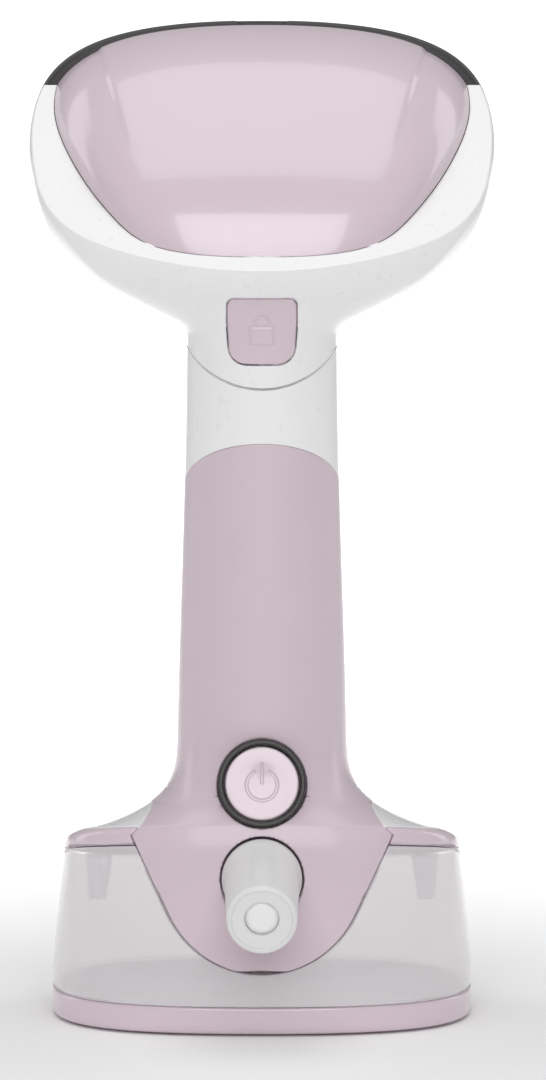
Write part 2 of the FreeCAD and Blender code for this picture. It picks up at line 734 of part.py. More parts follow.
COVER_REAR = "(boiler_rear - gasket_thickness - cover_thickness)"
without("boiler_block", document.getObject("boiler_casting"), document.getObject("steam_chamber"), element,
        *steam_ways, *bolt_rods("bolt_hole", "1.3", "9", "boiler_rear - 1"))
element_holes = [rod(f"element_hole_{side + 1}", "element_radius + 0.2", "20",
                     (f"{side} * 12", "boiler_rear - 12", "boiler_low + 6.5"),
                     towards(0, 1, 0)) for side in (-1, 1)]
block("gasket_sheet", ("-boiler_half_width", "boiler_rear - gasket_thickness", "boiler_low"),
      ("boiler_half_width", "boiler_rear", "boiler_high"))
block("gasket_window", ("-boiler_half_width + 5", "boiler_rear - 5", "boiler_low + 5"),
      ("boiler_half_width - 5", "boiler_rear + 1", "boiler_high - 5"))
without("boiler_gasket", document.getObject("gasket_sheet"), document.getObject("gasket_window"),
        *element_holes,
        *bolt_rods("gasket_hole", "1.3", "9", "boiler_rear - 5"))
block("cover_sheet", ("-boiler_half_width", COVER_REAR, "boiler_low"),
      ("boiler_half_width", "boiler_rear - gasket_thickness", "boiler_high"))
inlet = rod("inlet_hole", "hose_radius + 0.8", "12",
            ("-18", "boiler_rear - 8", "(boiler_low + boiler_high) / 2"),
            towards(0, 1, 0))
without("boiler_cover", document.getObject("cover_sheet"), inlet, *element_holes,
        *bolt_rods("cover_hole", "1.3", "9", "boiler_rear - 8"))
screws = []
for number, (x, z) in enumerate(bolts):
    across, up = bolt_at(x, z)
    screws.append(turned(
        f"boiler_screw_{number}",
        [("0", "-1.8"), ("2.3", "-1.8"), ("2.3", "0"), ("1.25", "0"), ("1.25", "8"), ("0", "8")],
        (across, COVER_REAR, up)))
grouped("boiler_screws", *screws)
turned("thermostat", [("0", "0"), ("7.5", "0"), ("7.5", "-3"), ("5.5", "-3"), ("5.5", "-7"), ("0", "-7")],
       ("2", COVER_REAR, "(boiler_low + boiler_high) / 2 + 3"))
fuse_tube = rod("fuse_tube", "2", "12", ("18", f"{COVER_REAR} - 2.6", "boiler_high - 9"), towards(1, 0, 0))
fuse_clip = block("fuse_clip", ("21", f"{COVER_REAR} - 2.6", "boiler_high - 12.5"),
                  ("27", COVER_REAR, "boiler_high - 5.5"))
joined("thermal_fuse", fuse_tube, fuse_clip)
turned("water_inlet", [("spigot_bore", "-6"), ("spigot_radius", "-6"), ("spigot_radius", "0"),
                        ("hose_radius + 0.8", "0"), ("hose_radius + 0.8", "3"), ("spigot_bore", "3")],
       ("-18", COVER_REAR, "(boiler_low + boiler_high) / 2"))

# ---- handle: shells, trigger, pump, board

full_outside = base_outside.fuse(collar()).fuse(outside)
full_inside = base_inside.fuse(collar(WALL)).fuse(inside)
ball_centre = Vector(0, size("guard_y"), size("guard_z"))
dish_radius = size("guard_ball") + size("dish_gap")
button_centre = Vector(0, size("button_y"), size("button_z"))
lean = math.radians(size("button_tilt"))
button_axis = Vector(0, -math.cos(lean), math.sin(lean))

cover = full_outside.common(grip_region(-GAP)).common(handle_region(-GAP)).cut(inside)
column_space = full_inside.common(tongue_column(-GAP - WALL))
cover = cover.cut(column_space)
cover = cover.fuse(Part.makeSphere(dish_radius + WALL, ball_centre).common(column_space))
cover = cover.cut(Part.makeSphere(dish_radius, ball_centre))
NECK_SWING = 26.0
slot = Part.makeCylinder(size("knuckle_neck") + 0.8, 40, ball_centre, Vector(0, 1, 0))
swing = math.radians(NECK_SWING)
slot_points = [ball_centre + Vector(side * math.sin(swing) * 20, math.cos(swing) * 20, 0) for side in (-1, 1)]
slots = [slot] + [Part.makeCylinder(size("knuckle_neck") + 0.8, 20, ball_centre, point - ball_centre)
                  for point in slot_points]
wedge = Part.Face(Part.makePolygon([ball_centre, *slot_points, ball_centre]))
wedge.translate(Vector(0, 0, -size("knuckle_neck") - 0.8))
slots.append(wedge.extrude(Vector(0, 0, 2 * (size("knuckle_neck") + 0.8))))
for tool in slots:
    cover = cover.cut(tool)
cover = cover.cut(Part.makeCylinder(size("ring_radius") + 0.1, 20, button_centre - button_axis * 10,
                                    button_axis))
BOSS = 3.0
PILOT = 1.1
PILOT_DEPTH = 14
boss_spots = [Vector(side * 10, 0, GRIP_START + 33) for side in (-1, 1)]
for spot in boss_spots:
    boss = Part.makeCylinder(BOSS, size("grip_back") - GAP, spot + Vector(0, -size("grip_back"), 0),
                             Vector(0, 1, 0))
    pilot = Part.makeCylinder(PILOT, PILOT_DEPTH, spot - Vector(0, PILOT_DEPTH, 0), Vector(0, 1, 0))
    cover = cover.fuse(boss.common(outside)).cut(pilot)
freeform("grip_cover", cover)

shell = outside.common(handle_region(-GAP)).common(front_limit).cut(inside).cut(grip_region(GAP))
slot_half = size("trigger_half") + size("slide_gap")
trigger_slot = big_box((-slot_half, size("trigger_pin_y") - 1, size("trigger_low") - 1.5),
                       (slot_half, 40, size("trigger_pin_z") + 4.5))
shell = shell.cut(trigger_slot)
for spot in boss_spots:
    start = spot + Vector(0, GAP, 0)
    boss = Part.makeCylinder(BOSS, size("grip_front"), start, Vector(0, 1, 0))
    collar_end = Part.makeCylinder(BOSS + 1.3, size("grip_front"), spot + Vector(0, 7, 0), Vector(0, 1, 0))
    shell = shell.fuse(boss.fuse(collar_end).common(outside))
    shell = shell.cut(Part.makeCylinder(size("screw_radius") + 0.1, 40, spot, Vector(0, 1, 0)))
    shell = shell.cut(Part.makeCylinder(size("screw_head") + 0.2, 40, spot + Vector(0, 9, 0), Vector(0, 1, 0)))
base_spots = [Vector(side * 20, 3, SHOULDER) for side in (-1, 1)]
for spot in base_spots:
    post = Part.makeCylinder(3.2, 22, spot, Vector(0, 0, 1)).common(outside)
    post = post.cut(under_seam(size("lid_height") + size("base_thickness") + 0.35))
    shell = shell.fuse(post).cut(Part.makeCylinder(PILOT, 12, spot, Vector(0, 0, 1)))
freeform("handle_shell", shell)

screws = []
for number, spot in enumerate(boss_spots):
    screws.append(turned(
        f"handle_screw_{number}",
        [("0", "-11"), ("1.05", "-11"), ("1.05", "0"), ("screw_radius", "0"), ("screw_radius", "9"),
         ("screw_head", "9"), ("screw_head", "11"), ("0", "11")],
        (str(spot.x), "0", str(spot.z))))
grouped("handle_screws", *screws)

base = inside.common(under_seam(size("lid_height") + size("base_thickness") + 0.3))
base = base.cut(under_seam(size("lid_height") + 0.3))
base = base.cut(tongue_column(0.3))
nipple_spot = Vector(0, size("nipple_y"), 0)
base = base.cut(Part.makeCylinder(size("nipple_radius") + 0.02, 100, nipple_spot, Vector(0, 0, 1)))
for spot in base_spots:
    ground = Vector(spot.x, spot.y, 0)
    base = base.cut(Part.makeCylinder(size("screw_radius") + 0.1, FAR, ground, Vector(0, 0, 1)))
    base = base.cut(Part.makeCylinder(size("screw_head") + 0.2, SHOULDER + 1.4, ground, Vector(0, 0, 1)))
freeform("base_plate", base)
BASE_TOP = "(seam_height + lid_height + base_thickness + 0.4 - (nipple_y - 5) * 0.2309)"
turned("water_nipple",
       [("nipple_bore", "-13"), ("nipple_radius", "-13"), ("nipple_radius", "0"), ("5", "0"), ("5", "1.5"),
        ("spigot_radius", "1.5"), ("spigot_radius", "7"), ("spigot_bore", "7"), ("spigot_bore", "1"),
        ("nipple_bore", "0")],
       ("0", "nipple_y", BASE_TOP), (0, 0, 1))
screws = []
for number, spot in enumerate(base_spots):
    screws.append(turned(
        f"base_screw_{number}",
        [("0", "0.2"), ("screw_head", "0.2"), ("screw_head", "1.3"), ("screw_radius", "1.3"),
         ("screw_radius", "2.4"), ("1.05", "2.4"), ("1.05", "10"), ("0", "10")],
        (str(spot.x), str(spot.y), "seam_height + lid_height"), (0, 0, 1)))
grouped("base_screws", *screws)

# trigger on the front, its pin, bracket, switch with lever, and spring
# outline of the trigger, as distances in front of its pin and above it
TRIGGER_OUTLINE = (("2.5", "2.6"), ("6.6", "2.2"), ("10.4", "-5"), ("12.4", "-17"), ("11.6", "-29"),
                   ("8.6", "trigger_low - trigger_pin_z + 1"), ("6.6", "trigger_low - trigger_pin_z"),
                   ("4.6", "trigger_low - trigger_pin_z + 3"), ("4.6", "-6"), ("-2.6", "-2"), ("-2.6", "0.5"))
trigger_blank = plate("trigger_blank",
                      [(f"trigger_pin_y + {ahead}", f"trigger_pin_z + {up}") for ahead, up in TRIGGER_OUTLINE],
                      "2 * trigger_half", ("-trigger_half", "0", "0"), None, "YZ_Plane")
PIN_LINE = ("-20", "trigger_pin_y", "trigger_pin_z")
without("trigger", trigger_blank,
        rod("trigger_hole", "trigger_pin + running_gap", "40", PIN_LINE, towards(1, 0, 0)))
rod("trigger_pin", "trigger_pin", "2 * trigger_half + 4.8",
    ("-trigger_half - 2.4", "trigger_pin_y", "trigger_pin_z"), towards(1, 0, 0))
ears = []
for side in (-1, 1):
    ears.append(block(f"bracket_ear_{side + 1}",
                      (f"{side} * (trigger_half + 1.5) - 0.9", "-3", "trigger_pin_z - 7"),
                      (f"{side} * (trigger_half + 1.5) + 0.9", "trigger_pin_y + 2.2", "trigger_pin_z + 3")))
bracket_back = block("bracket_back", ("-trigger_half - 2.4", "-3", "trigger_low + 10"),
                     ("trigger_half + 2.4", "-1", "trigger_pin_z + 3"))
without("trigger_bracket", joined("bracket_blank", bracket_back, *ears),
        rod("bracket_hole", "trigger_pin", "40", PIN_LINE, towards(1, 0, 0)))
block("trigger_switch", ("-3.2", "-1", "trigger_pin_z - 29"), ("3.2", "5.5", "trigger_pin_z - 13"))
# outline of the lever, as distances in front of its upper end and below the pin
LEVER_OUTLINE = (("-0.5", "14.4"), ("0.6", "14.4"), ("6.2", "29"), ("5.2", "29.6"))
plate("switch_lever", [(f"lever_y + {ahead}", f"trigger_pin_z - {drop}") for ahead, drop in LEVER_OUTLINE],
      "4", ("-2", "0", "0"), None, "YZ_Plane")
SPRING_Z = size("trigger_pin_z") - 9.2
coil("trigger_spring", 2.6, 0.35, 6, Vector(0, -0.95, SPRING_Z),
     Vector(0, size("trigger_pin_y") + 4.5, SPRING_Z))

# lock button: a cap that follows the neck, a stem, a switch on a small board, and a spring
lock_cap = outside.common(lock_prism(0)).cut(handle_and_head(size("lock_thickness")))
stem_start = Vector(0, -size("neck_back") - 0.5, size("lock_z"))
stem = Part.makeCylinder(size("button_stem"), 10, stem_start, Vector(0, 1, 0))
freeform("lock_button", lock_cap.fuse(stem.common(inside)))
block("lock_board", ("-7", "lock_board_y", "lock_z - 8"), ("7", "lock_board_y + 1.2", "lock_z + 9"))
block("lock_switch", ("-2.4", "lock_board_y - 3.2", "lock_z - 2.4"), ("2.4", "lock_board_y", "lock_z + 2.4"))
coil("lock_spring", 3.8, 0.3, 4, Vector(0, -size("neck_back") + 4.6, size("lock_z")),
     Vector(0, size("lock_board_y"), size("lock_z")))

# power button, ring, switch and board, square to the button's tilted axis
button_at = ("0", "button_y", "button_z")
button_way = (0, button_axis.y, button_axis.z)
board_turn = Rotation(Vector(1, 0, 0), 90 - size("button_tilt"))
turned("power_ring",
       [("ring_bore", "-ring_depth"), ("ring_radius", "-ring_depth"), ("ring_radius", "ring_proud - 0.3"),
        ("ring_radius - 0.3", "ring_proud"), ("ring_bore + 0.2", "ring_proud"),
        ("ring_bore", "ring_proud - 0.2")],
       button_at, button_way)
STEM_END = "-board_depth + switch_height + button_travel + 0.1"
turned("power_button",
       [("0", STEM_END), ("button_stem", STEM_END), ("button_stem", "-2.6"), ("button_radius", "-2.6"),
        ("button_radius", "-0.2"), ("button_radius - 0.3", "0.1"), ("0", "0.3")],
       button_at, button_way)


def behind_button(name, low, high):
    """A box in the board's frame: across, up along the board, and outwards along the button's axis."""
    blank = block(name + "_blank", low, high)
    piece = document.addObject("Part::Compound", name)
    piece.Links = [blank]
    return place(piece, button_at, board_turn)


behind_button("power_switch", ("-3", "-3", "-board_depth"), ("3", "3", "-board_depth + switch_height"))
behind_button("control_board", ("-13", "-9", "-board_depth - board_thickness"), ("13", "19", "-board_depth"))
# left, right, low and high edge on the board, and height above it
BOARD_PARTS = ((-11, 0, -4, 6, 7.0), (2, 11, -4, 5, 6.5), (-11, -3, 8, 17, 3.0), (3, 11, 8, 14, 3.0))
parts_on_board = []
for number, (left, right, low, high, tall) in enumerate(BOARD_PARTS):
    parts_on_board.append(behind_button(f"board_part_{number}",
                                        (str(left), str(low), f"-board_depth - board_thickness - {tall}"),
                                        (str(right), str(high), "-board_depth - board_thickness")))
grouped("board_parts", *parts_on_board)

# pump: coil, tube, piston, spring, rubber mounts, and the hoses
PUMP = ("0", "pump_y", "pump_low")
TUBE_BORE = "piston_radius + running_gap"
TUBE_SIDE = "piston_radius + running_gap + tube_wall"
turned("pump_coil", [(TUBE_SIDE, "0"), ("pump_radius", "0"), ("pump_radius", "pump_height"),
                     (TUBE_SIDE, "pump_height")],
       PUMP, (0, 0, 1))
turned("pump_tube",
       [("spigot_bore", "-12"), ("spigot_radius", "-12"), ("spigot_radius", "-6"), (TUBE_SIDE, "-6"),
        (TUBE_SIDE, "pump_height + 6"), ("spigot_radius", "pump_height + 6"),
        ("spigot_radius", "pump_height + 12"), ("spigot_bore", "pump_height + 12"),
        ("spigot_bore", "pump_height + 4"), (TUBE_BORE, "pump_height + 4"), (TUBE_BORE, "-4"),
        ("spigot_bore", "-4")],
       PUMP, (0, 0, 1))
turned("pump_piston", [("0.8", "1"), ("piston_radius", "1"), ("piston_radius", "15"), ("0.8", "15")], PUMP,
       (0, 0, 1))
pump_floor = Vector(0, size("pump_y"), size("pump_low"))
coil("pump_spring", 2.1, 0.4, 5, pump_floor + Vector(0, 0, 15),
     pump_floor + Vector(0, 0, size("pump_height") + 4))
mounts = []
for number, (start, end) in enumerate((("-4", "-0.05"), ("pump_height + 0.05", "pump_height + 4"))):
    mounts.append(turned(f"pump_mount_{number}",
                         [(TUBE_SIDE, start), ("pump_radius + 0.6", start), ("pump_radius + 0.6", end),
                          (TUBE_SIDE, end)],
                         PUMP, (0, 0, 1)))
grouped("pump_mounts", *mounts)


def water_hose(name, points, bend):
    """A hose slipped over the spigots at its two ends."""
    return freeform(name, hose(points, size("hose_radius"), bend).cut(hose(points, size("hose_bore"), bend)))


PUMP_TOP = size("pump_low") + size("pump_height") + 12
base_top = value_of(BASE_TOP)
water_hose("suction_hose",
           [Vector(0, size("pump_y"), base_top + 1.7), Vector(0, size("pump_y"), size("pump_low") - 6.2)], 3)
boiler_middle = (size("boiler_low") + size("boiler_high")) / 2
cover_rear = value_of(COVER_REAR)
water_hose("pressure_hose",
           [Vector(0, size("pump_y"), PUMP_TOP - 5.8), Vector(0, size("pump_y"), PUMP_TOP + 4),
            Vector(-9.5, -8, size("trigger_low") + 8), Vector(-9.5, -8, 200),
            Vector(-18, -6, boiler_middle), Vector(-18, cover_rear - 0.2, boiler_middle)], 5)
element_end = Vector(12, size("boiler_rear") - 7.1, element_low)
board_top = size("button_z") + 20
lead_turns = ((5.5, 12, Vector(12, -2, 203)), (-5.5, -12, Vector(-9, 0, 203)))
leads = []
for across, end_across, elbow in lead_turns:
    end = Vector(end_across, element_end.y, element_end.z)
    leads.append(hose([Vector(across, -8.5, board_top), Vector(across, -11, 166), Vector(across, -9, 193),
                       elbow,
                       end - Vector(0, 4, 0), end], 0.8, 1.5))
freeform("heater_leads", Part.makeCompound(leads))

# cord guard on a two-way swivel: the knuckle turns left and right, the guard tips on the knuckle's side pivots
droop = math.radians(size("guard_droop"))
guard_way = (0, -math.cos(droop), -math.sin(droop))
guard_at = ("0", "guard_y", "guard_z")
guard_blank = joined("guard_blank", ball("guard_dome", "guard_ball", guard_at),
                     cone("guard_sleeve", "guard_root", "guard_tip", "guard_length", guard_at,
                          towards(*guard_way)))
without("cord_guard", guard_blank, ball("guard_hollow", "guard_ball - guard_shell", guard_at),
        cone("guard_mouth", "0", "swing_room", "20", guard_at, towards(0, -guard_way[1], -guard_way[2])),
        rod("guard_bore", "cord_bore", "guard_length + 5", guard_at, towards(*guard_way)),
        rod("pivot_hole", "pivot_radius + running_gap", "2 * (guard_ball - guard_shell * 0.35)",
            ("-guard_ball + guard_shell * 0.35", "guard_y", "guard_z"), towards(1, 0, 0)))
KNUCKLE = "(guard_ball - guard_shell - knuckle_gap)"
flange_inner = size("guard_ball") + size("dish_gap") + WALL + 0.3
flange = Part.makeSphere(flange_inner + 1.5, ball_centre).cut(Part.makeSphere(flange_inner, ball_centre))
FLANGE_ANGLE = math.radians(40)
flange = flange.common(Part.makeCone(0, 20 * math.tan(FLANGE_ANGLE), 20, ball_centre, Vector(0, 1, 0)))
knuckle = Part.makeSphere(value_of(KNUCKLE), ball_centre)
knuckle = knuckle.fuse(Part.makeCylinder(size("knuckle_neck"), flange_inner + 0.8, ball_centre,
                                         Vector(0, 1, 0)))
pivot_end = size("guard_ball") - size("guard_shell") * 0.4
pivots = Part.makeCylinder(size("pivot_radius"), 2 * pivot_end, ball_centre - Vector(pivot_end, 0, 0),
                           Vector(1, 0, 0))
knuckle = knuckle.fuse(flange).fuse(pivots)
knuckle = knuckle.cut(Part.makeCylinder(size("cord_bore") + 0.1, 60, ball_centre - Vector(0, 30, 0),
                                        Vector(0, 1, 0)))
freeform("swivel_knuckle", knuckle)
clamp_floor = size("tongue_centre") - size("tongue_radius") + WALL + 4
CLAMP_BACK = "tongue_front - shell_gap - wall"
without("cord_clamp",
        block("clamp_bar", ("-10", f"{CLAMP_BACK} - 4.5", str(clamp_floor)),
              ("10", f"{CLAMP_BACK} - 0.1", f"{clamp_floor} + 7")),
        rod("clamp_groove", "3.6", "40", ("0", f"{CLAMP_BACK} - 6", "0"), towards(0, 0, 1)))

# ---- tank: clear body, lid, foot, pad, valve, intake pipe, filler plug

column_gap = size("free_gap")
FOOT_TOP = size("foot_height")
FOOT_FLOOR = size("foot_floor") + size("foot_plate")
nest = WALL + 0.4


def below_height(height):
    """Everything under a level plane."""
    return beneath(height, 0)


rebate = tank_envelope(nest, FOOT_FLOOR + 0.1).common(below_height(FOOT_TOP + 1))
tank = tank_envelope(0, FOOT_TOP + GAP).fuse(rebate)
sump = tank_envelope(nest + WALL, FOOT_FLOOR + 0.1 + WALL).common(below_height(FOOT_TOP + WALL + 0.5))
water = tank_envelope(WALL, FOOT_TOP + WALL).fuse(sump)
column = tongue_column(column_gap)
column_wall = tongue_column(column_gap + WALL)
tank = tank.cut(column).cut(water.cut(column_wall))
plug_share = (size("plug_z") - FOOT_TOP) / size("seam_height")
PLUG_Y = size("foot_half_depth") + (size("seam_front") - size("foot_half_depth")) * plug_share
tank = tank.cut(Part.makeCylinder(size("plug_radius") + 0.15, 40, Vector(0, 10, size("plug_z")),
                                  Vector(0, 1, 0)))
freeform("tank_body", tank)

lid = collar().common(under_seam(size("lid_height") - 0.3)).cut(column)
lid = lid.cut(collar(WALL, WALL).cut(column_wall))
seam_slope = math.tan(math.radians(size("seam_tilt")))
lid_top = size("seam_height") + size("lid_height")
valve_top = lid_top - 0.5 - (size("nipple_y") + size("valve_radius")) * seam_slope
VALVE_LENGTH = 5.4
valve_floor = Vector(0, size("nipple_y"), valve_top - VALVE_LENGTH)
boss = Part.makeCylinder(size("valve_radius") + WALL, 20, valve_floor, Vector(0, 0, 1))
lid = lid.fuse(boss.common(under_seam(size("lid_height") - 0.3)))
lid = lid.cut(Part.makeCylinder(size("valve_radius"), 40, Vector(0, size("nipple_y"), 20), Vector(0, 0, 1)))
LUG_REAR = -16.0
LUG_DEPTH = 3.0
lug_top = lid_top - LUG_REAR * seam_slope - 4
lug_low = lug_top - size("lug_length")
lug_start = size("lug_start")
lug_end = lug_start + size("lug_width")
LUG_CORNERS = ((lug_start, lug_top), (lug_end, lug_top), (lug_end - 0.8, lug_low), (lug_start + 1.5, lug_low))
lug_room = tank_envelope(WALL + 0.3, FOOT_TOP).fuse(collar(WALL / 2))
for side in (-1, 1):
    corners = [Vector(side * x, LUG_REAR, z) for x, z in LUG_CORNERS]
    lug = Part.Face(Part.makePolygon(corners + corners[:1])).extrude(Vector(0, LUG_DEPTH, 0))
    lid = lid.fuse(lug.common(lug_room))
freeform("tank_lid", lid)

foot = tank_envelope(0, size("foot_floor")).common(below_height(FOOT_TOP))
foot = foot.cut(tank_envelope(nest - 0.1, FOOT_FLOOR))
pad_ring = section(size("foot_half_width") - size("pad_inset"), size("foot_half_depth") - size("pad_inset"),
                   size("foot_half_depth") - size("pad_inset"), Vector(), 0, size("foot_fullness"))
pad = Part.Face(pad_ring).extrude(Vector(0, 0, size("pad_thickness")))
freeform("tank_foot", foot.cut(pad))
freeform("foot_pad", pad)

turned("tank_valve",
       [("nipple_radius + 0.25", f"-{VALVE_LENGTH}"), ("valve_radius", f"-{VALVE_LENGTH}"),
        ("valve_radius", "0"),
        ("nipple_radius + 0.25", "0")], ("0", "nipple_y", str(valve_top)), (0, 0, 1))
PIPE_LOW = str(FOOT_FLOOR + WALL + 2)
PIPE_TOP = str(valve_floor.z)
turned("intake_pipe",
       [("1.6", PIPE_LOW), ("2.4", PIPE_LOW), ("2.4", f"{PIPE_TOP} - 6"),
        ("nipple_radius + 1.2", f"{PIPE_TOP} - 5"),
        ("nipple_radius + 1.2", PIPE_TOP), ("nipple_radius + 0.3", PIPE_TOP),
        ("nipple_radius + 0.3", f"{PIPE_TOP} - 4"), ("1.6", f"{PIPE_TOP} - 6")], ("0", "nipple_y", "0"),
        (0, 0, 1))
turned("filler_plug",
       [("0", "-4"), ("plug_radius - 0.6", "-4"), ("plug_radius", "-2.5"), ("plug_radius", "0.9"),
        ("plug_flange", "0.9"), ("plug_flange", "1.9"), ("plug_flange - 0.6", "2.5"), ("0", "2.5")],
       ("0", str(PLUG_Y), "plug_z"))

# ---- check every piece, then write it

NODES = """
    head_shell head_cover steam_plate_frame steam_plate boiler_block heating_element boiler_gasket boiler_cover
    boiler_screws thermostat thermal_fuse water_inlet handle_shell grip_cover handle_screws base_plate base_screws
    water_nipple trigger trigger_pin trigger_bracket trigger_switch switch_lever trigger_spring lock_button lock_board
    lock_switch lock_spring power_ring power_button power_switch control_board board_parts pump_coil pump_tube
    pump_piston pump_spring pump_mounts suction_hose pressure_hose heater_leads cord_guard swivel_knuckle cord_clamp
    tank_body tank_lid tank_foot foot_pad tank_valve intake_pipe filler_plug
""".split()

document.recompute()
faults = [item.Name for item in document.Objects if {"Invalid", "Error"} & set(item.State)]
if faults:
    raise RuntimeError(f"these objects failed: {faults}")
by_label = {item.Label: item for item in document.Objects}
os.makedirs("parts", exist_ok=True)
for node in NODES:
    shape = by_label[node].Shape
    if shape.isNull() or not shape.isValid() or not shape.Solids:
        raise RuntimeError(f"{node} has no valid solid")
    shape.exportStep(f"parts/{node}.step")
    print(node, len(shape.Solids), round(shape.Volume, 1))
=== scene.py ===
import json
import math

import bpy
import numpy as np
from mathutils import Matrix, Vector


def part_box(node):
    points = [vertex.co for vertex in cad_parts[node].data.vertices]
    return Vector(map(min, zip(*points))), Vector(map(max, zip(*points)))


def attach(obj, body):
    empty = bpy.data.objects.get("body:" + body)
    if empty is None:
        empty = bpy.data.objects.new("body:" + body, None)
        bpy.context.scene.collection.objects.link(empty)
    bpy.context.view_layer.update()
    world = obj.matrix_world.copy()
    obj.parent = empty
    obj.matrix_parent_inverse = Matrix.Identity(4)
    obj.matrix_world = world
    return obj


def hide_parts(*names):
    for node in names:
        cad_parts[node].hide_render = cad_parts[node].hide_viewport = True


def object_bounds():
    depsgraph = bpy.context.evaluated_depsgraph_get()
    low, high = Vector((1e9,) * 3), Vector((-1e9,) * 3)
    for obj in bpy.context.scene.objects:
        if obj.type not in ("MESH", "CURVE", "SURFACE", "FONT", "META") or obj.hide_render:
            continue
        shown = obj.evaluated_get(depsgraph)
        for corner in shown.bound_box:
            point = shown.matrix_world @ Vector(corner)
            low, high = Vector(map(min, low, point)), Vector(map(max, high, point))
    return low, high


# The looks of a garment steamer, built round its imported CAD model.
# Lengths are in millimetres until mesh_piece turns them into metres. X is across, +Y is the way the
# steam plate faces, +Z is up.

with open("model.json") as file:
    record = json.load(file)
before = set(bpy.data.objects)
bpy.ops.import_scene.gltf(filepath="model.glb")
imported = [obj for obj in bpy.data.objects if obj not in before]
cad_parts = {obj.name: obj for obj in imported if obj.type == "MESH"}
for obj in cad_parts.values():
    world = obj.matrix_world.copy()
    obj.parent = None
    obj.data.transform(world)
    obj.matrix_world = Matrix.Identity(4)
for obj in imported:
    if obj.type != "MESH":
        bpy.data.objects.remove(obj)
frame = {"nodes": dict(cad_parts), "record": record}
CAD_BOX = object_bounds()


def cad_box(node):
    """Lowest and highest corner of a CAD node, in millimetres."""
    low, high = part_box(node)
    return np.array(low) * 1000, np.array(high) * 1000


HEIGHT = CAD_BOX[1].z * 1000
FOOT_LOW, FOOT_HIGH = cad_box("tank_foot")
FACE_LOW, FACE_HIGH = cad_box("steam_plate_frame")
BUTTON_LOW, BUTTON_HIGH = cad_box("power_button")
LOCK_LOW, LOCK_HIGH = cad_box("lock_button")
TRIGGER_LOW, TRIGGER_HIGH = cad_box("trigger")

GAP = 0.10              # half of a parting line
FOOT_TOP = FOOT_HIGH[2]
SEAM = 42.0             # parting line of tank and lid at the middle
SEAM_TILT = 13.0
SHOULDER = SEAM + 5.0
GRIP_START = SHOULDER + 28.0
PIVOT_Y = FACE_LOW[1] - 0.15
PIVOT_Z = HEIGHT - 78.0
NECK_BACK, NECK_FRONT, NECK_WIDTH = 19.3, 18.0, 18.9
HEAD_WIDTH = FACE_HIGH[0]
HEAD_REACH, FACE_TOE = 78.0, 18.0
LOCK_GAP = 0.12
EDGE = 0.16             # radius of a rounded moulding edge
BEZEL_SLOPE = math.tan(math.radians(33.8))
BEZEL_Y, BEZEL_Z = -30.0, 195.5
ARC_RADIUS, ARC_HEIGHT, NECK_LINE = 26.0, 190.0, 172.3
COVER_TOP, COVER_DIP = 150.0, 13.0
TONGUE_RADIUS, TONGUE_CENTRE = 26.6, 42.6
TONGUE_CORNER = (33.2, 50.3)
TONGUE_WAIST = (24.0, 59.0)
LOCK_Z = (LOCK_LOW[2] + LOCK_HIGH[2]) / 2
LOCK_HALF = (LOCK_HIGH[2] - LOCK_LOW[2]) / 2
BALL = np.array([0.0, -30.0, 40.0])
DISH = 10.95
BUTTON = np.array([0.0, -25.5, 63.8])
BUTTON_TILT = math.radians(14.0)
BUTTON_AXIS = np.array([0.0, -math.cos(BUTTON_TILT), math.sin(BUTTON_TILT)])
BUTTON_UP = np.array([0.0, math.sin(BUTTON_TILT), math.cos(BUTTON_TILT)])


# ---- curves and surfaces as whole arrays


def spline(places, values, at):
    """Natural cubic spline through (places, values): its second derivatives solve the usual tridiagonal
    system."""
    x, y = np.asarray(places, float), np.asarray(values, float)
    gap = np.diff(x)
    count = len(x)
    matrix = np.eye(count)
    right = np.zeros(count)
    for i in range(1, count - 1):
        matrix[i, i - 1:i + 2] = gap[i - 1], 2 * (gap[i - 1] + gap[i]), gap[i]
        right[i] = 6 * ((y[i + 1] - y[i]) / gap[i] - (y[i] - y[i - 1]) / gap[i - 1])
    bend = np.linalg.solve(matrix, right)
    at = np.clip(at, x[0], x[-1])
    i = np.clip(np.searchsorted(x, at) - 1, 0, count - 2)
    a, b = (x[i + 1] - at) / gap[i], (at - x[i]) / gap[i]
    return a * y[i] + b * y[i + 1] + ((a ** 3 - a) * bend[i] + (b ** 3 - b) * bend[i + 1]) * gap[i] ** 2 / 6


def smooth(value, start, end):
    """0 before start, 1 after end, and 3t^2 - 2t^3 between."""
    t = np.clip((value - start) / (end - start), 0, 1)
    return t * t * (3 - 2 * t)


def ease(start, end, share, power):
    """From start to end: end + (start - end)(1 - share)^power."""
    return end + (start - end) * (1 - np.clip(share, 0, 1)) ** power


def ring(turn, width, back, front, fullness):
    """Point of a closed outline of four Bezier quarters. turn runs from -2 to 2: 0 is the middle of the rear,
    1 and -1 are the sides and 2 is the middle of the front. Returns (across, along)."""
    side = np.abs(turn)
    rear = side <= 1
    s = np.where(rear, side, 2 - side)
    b0, b1, b2, b3 = (1 - s) ** 3, 3 * s * (1 - s) ** 2, 3 * s * s * (1 - s), s ** 3
    along = (b0 + b1 + fullness * b2) * np.where(rear, -back, front)
    return np.sign(turn) * width * (fullness * b1 + b2 + b3), along


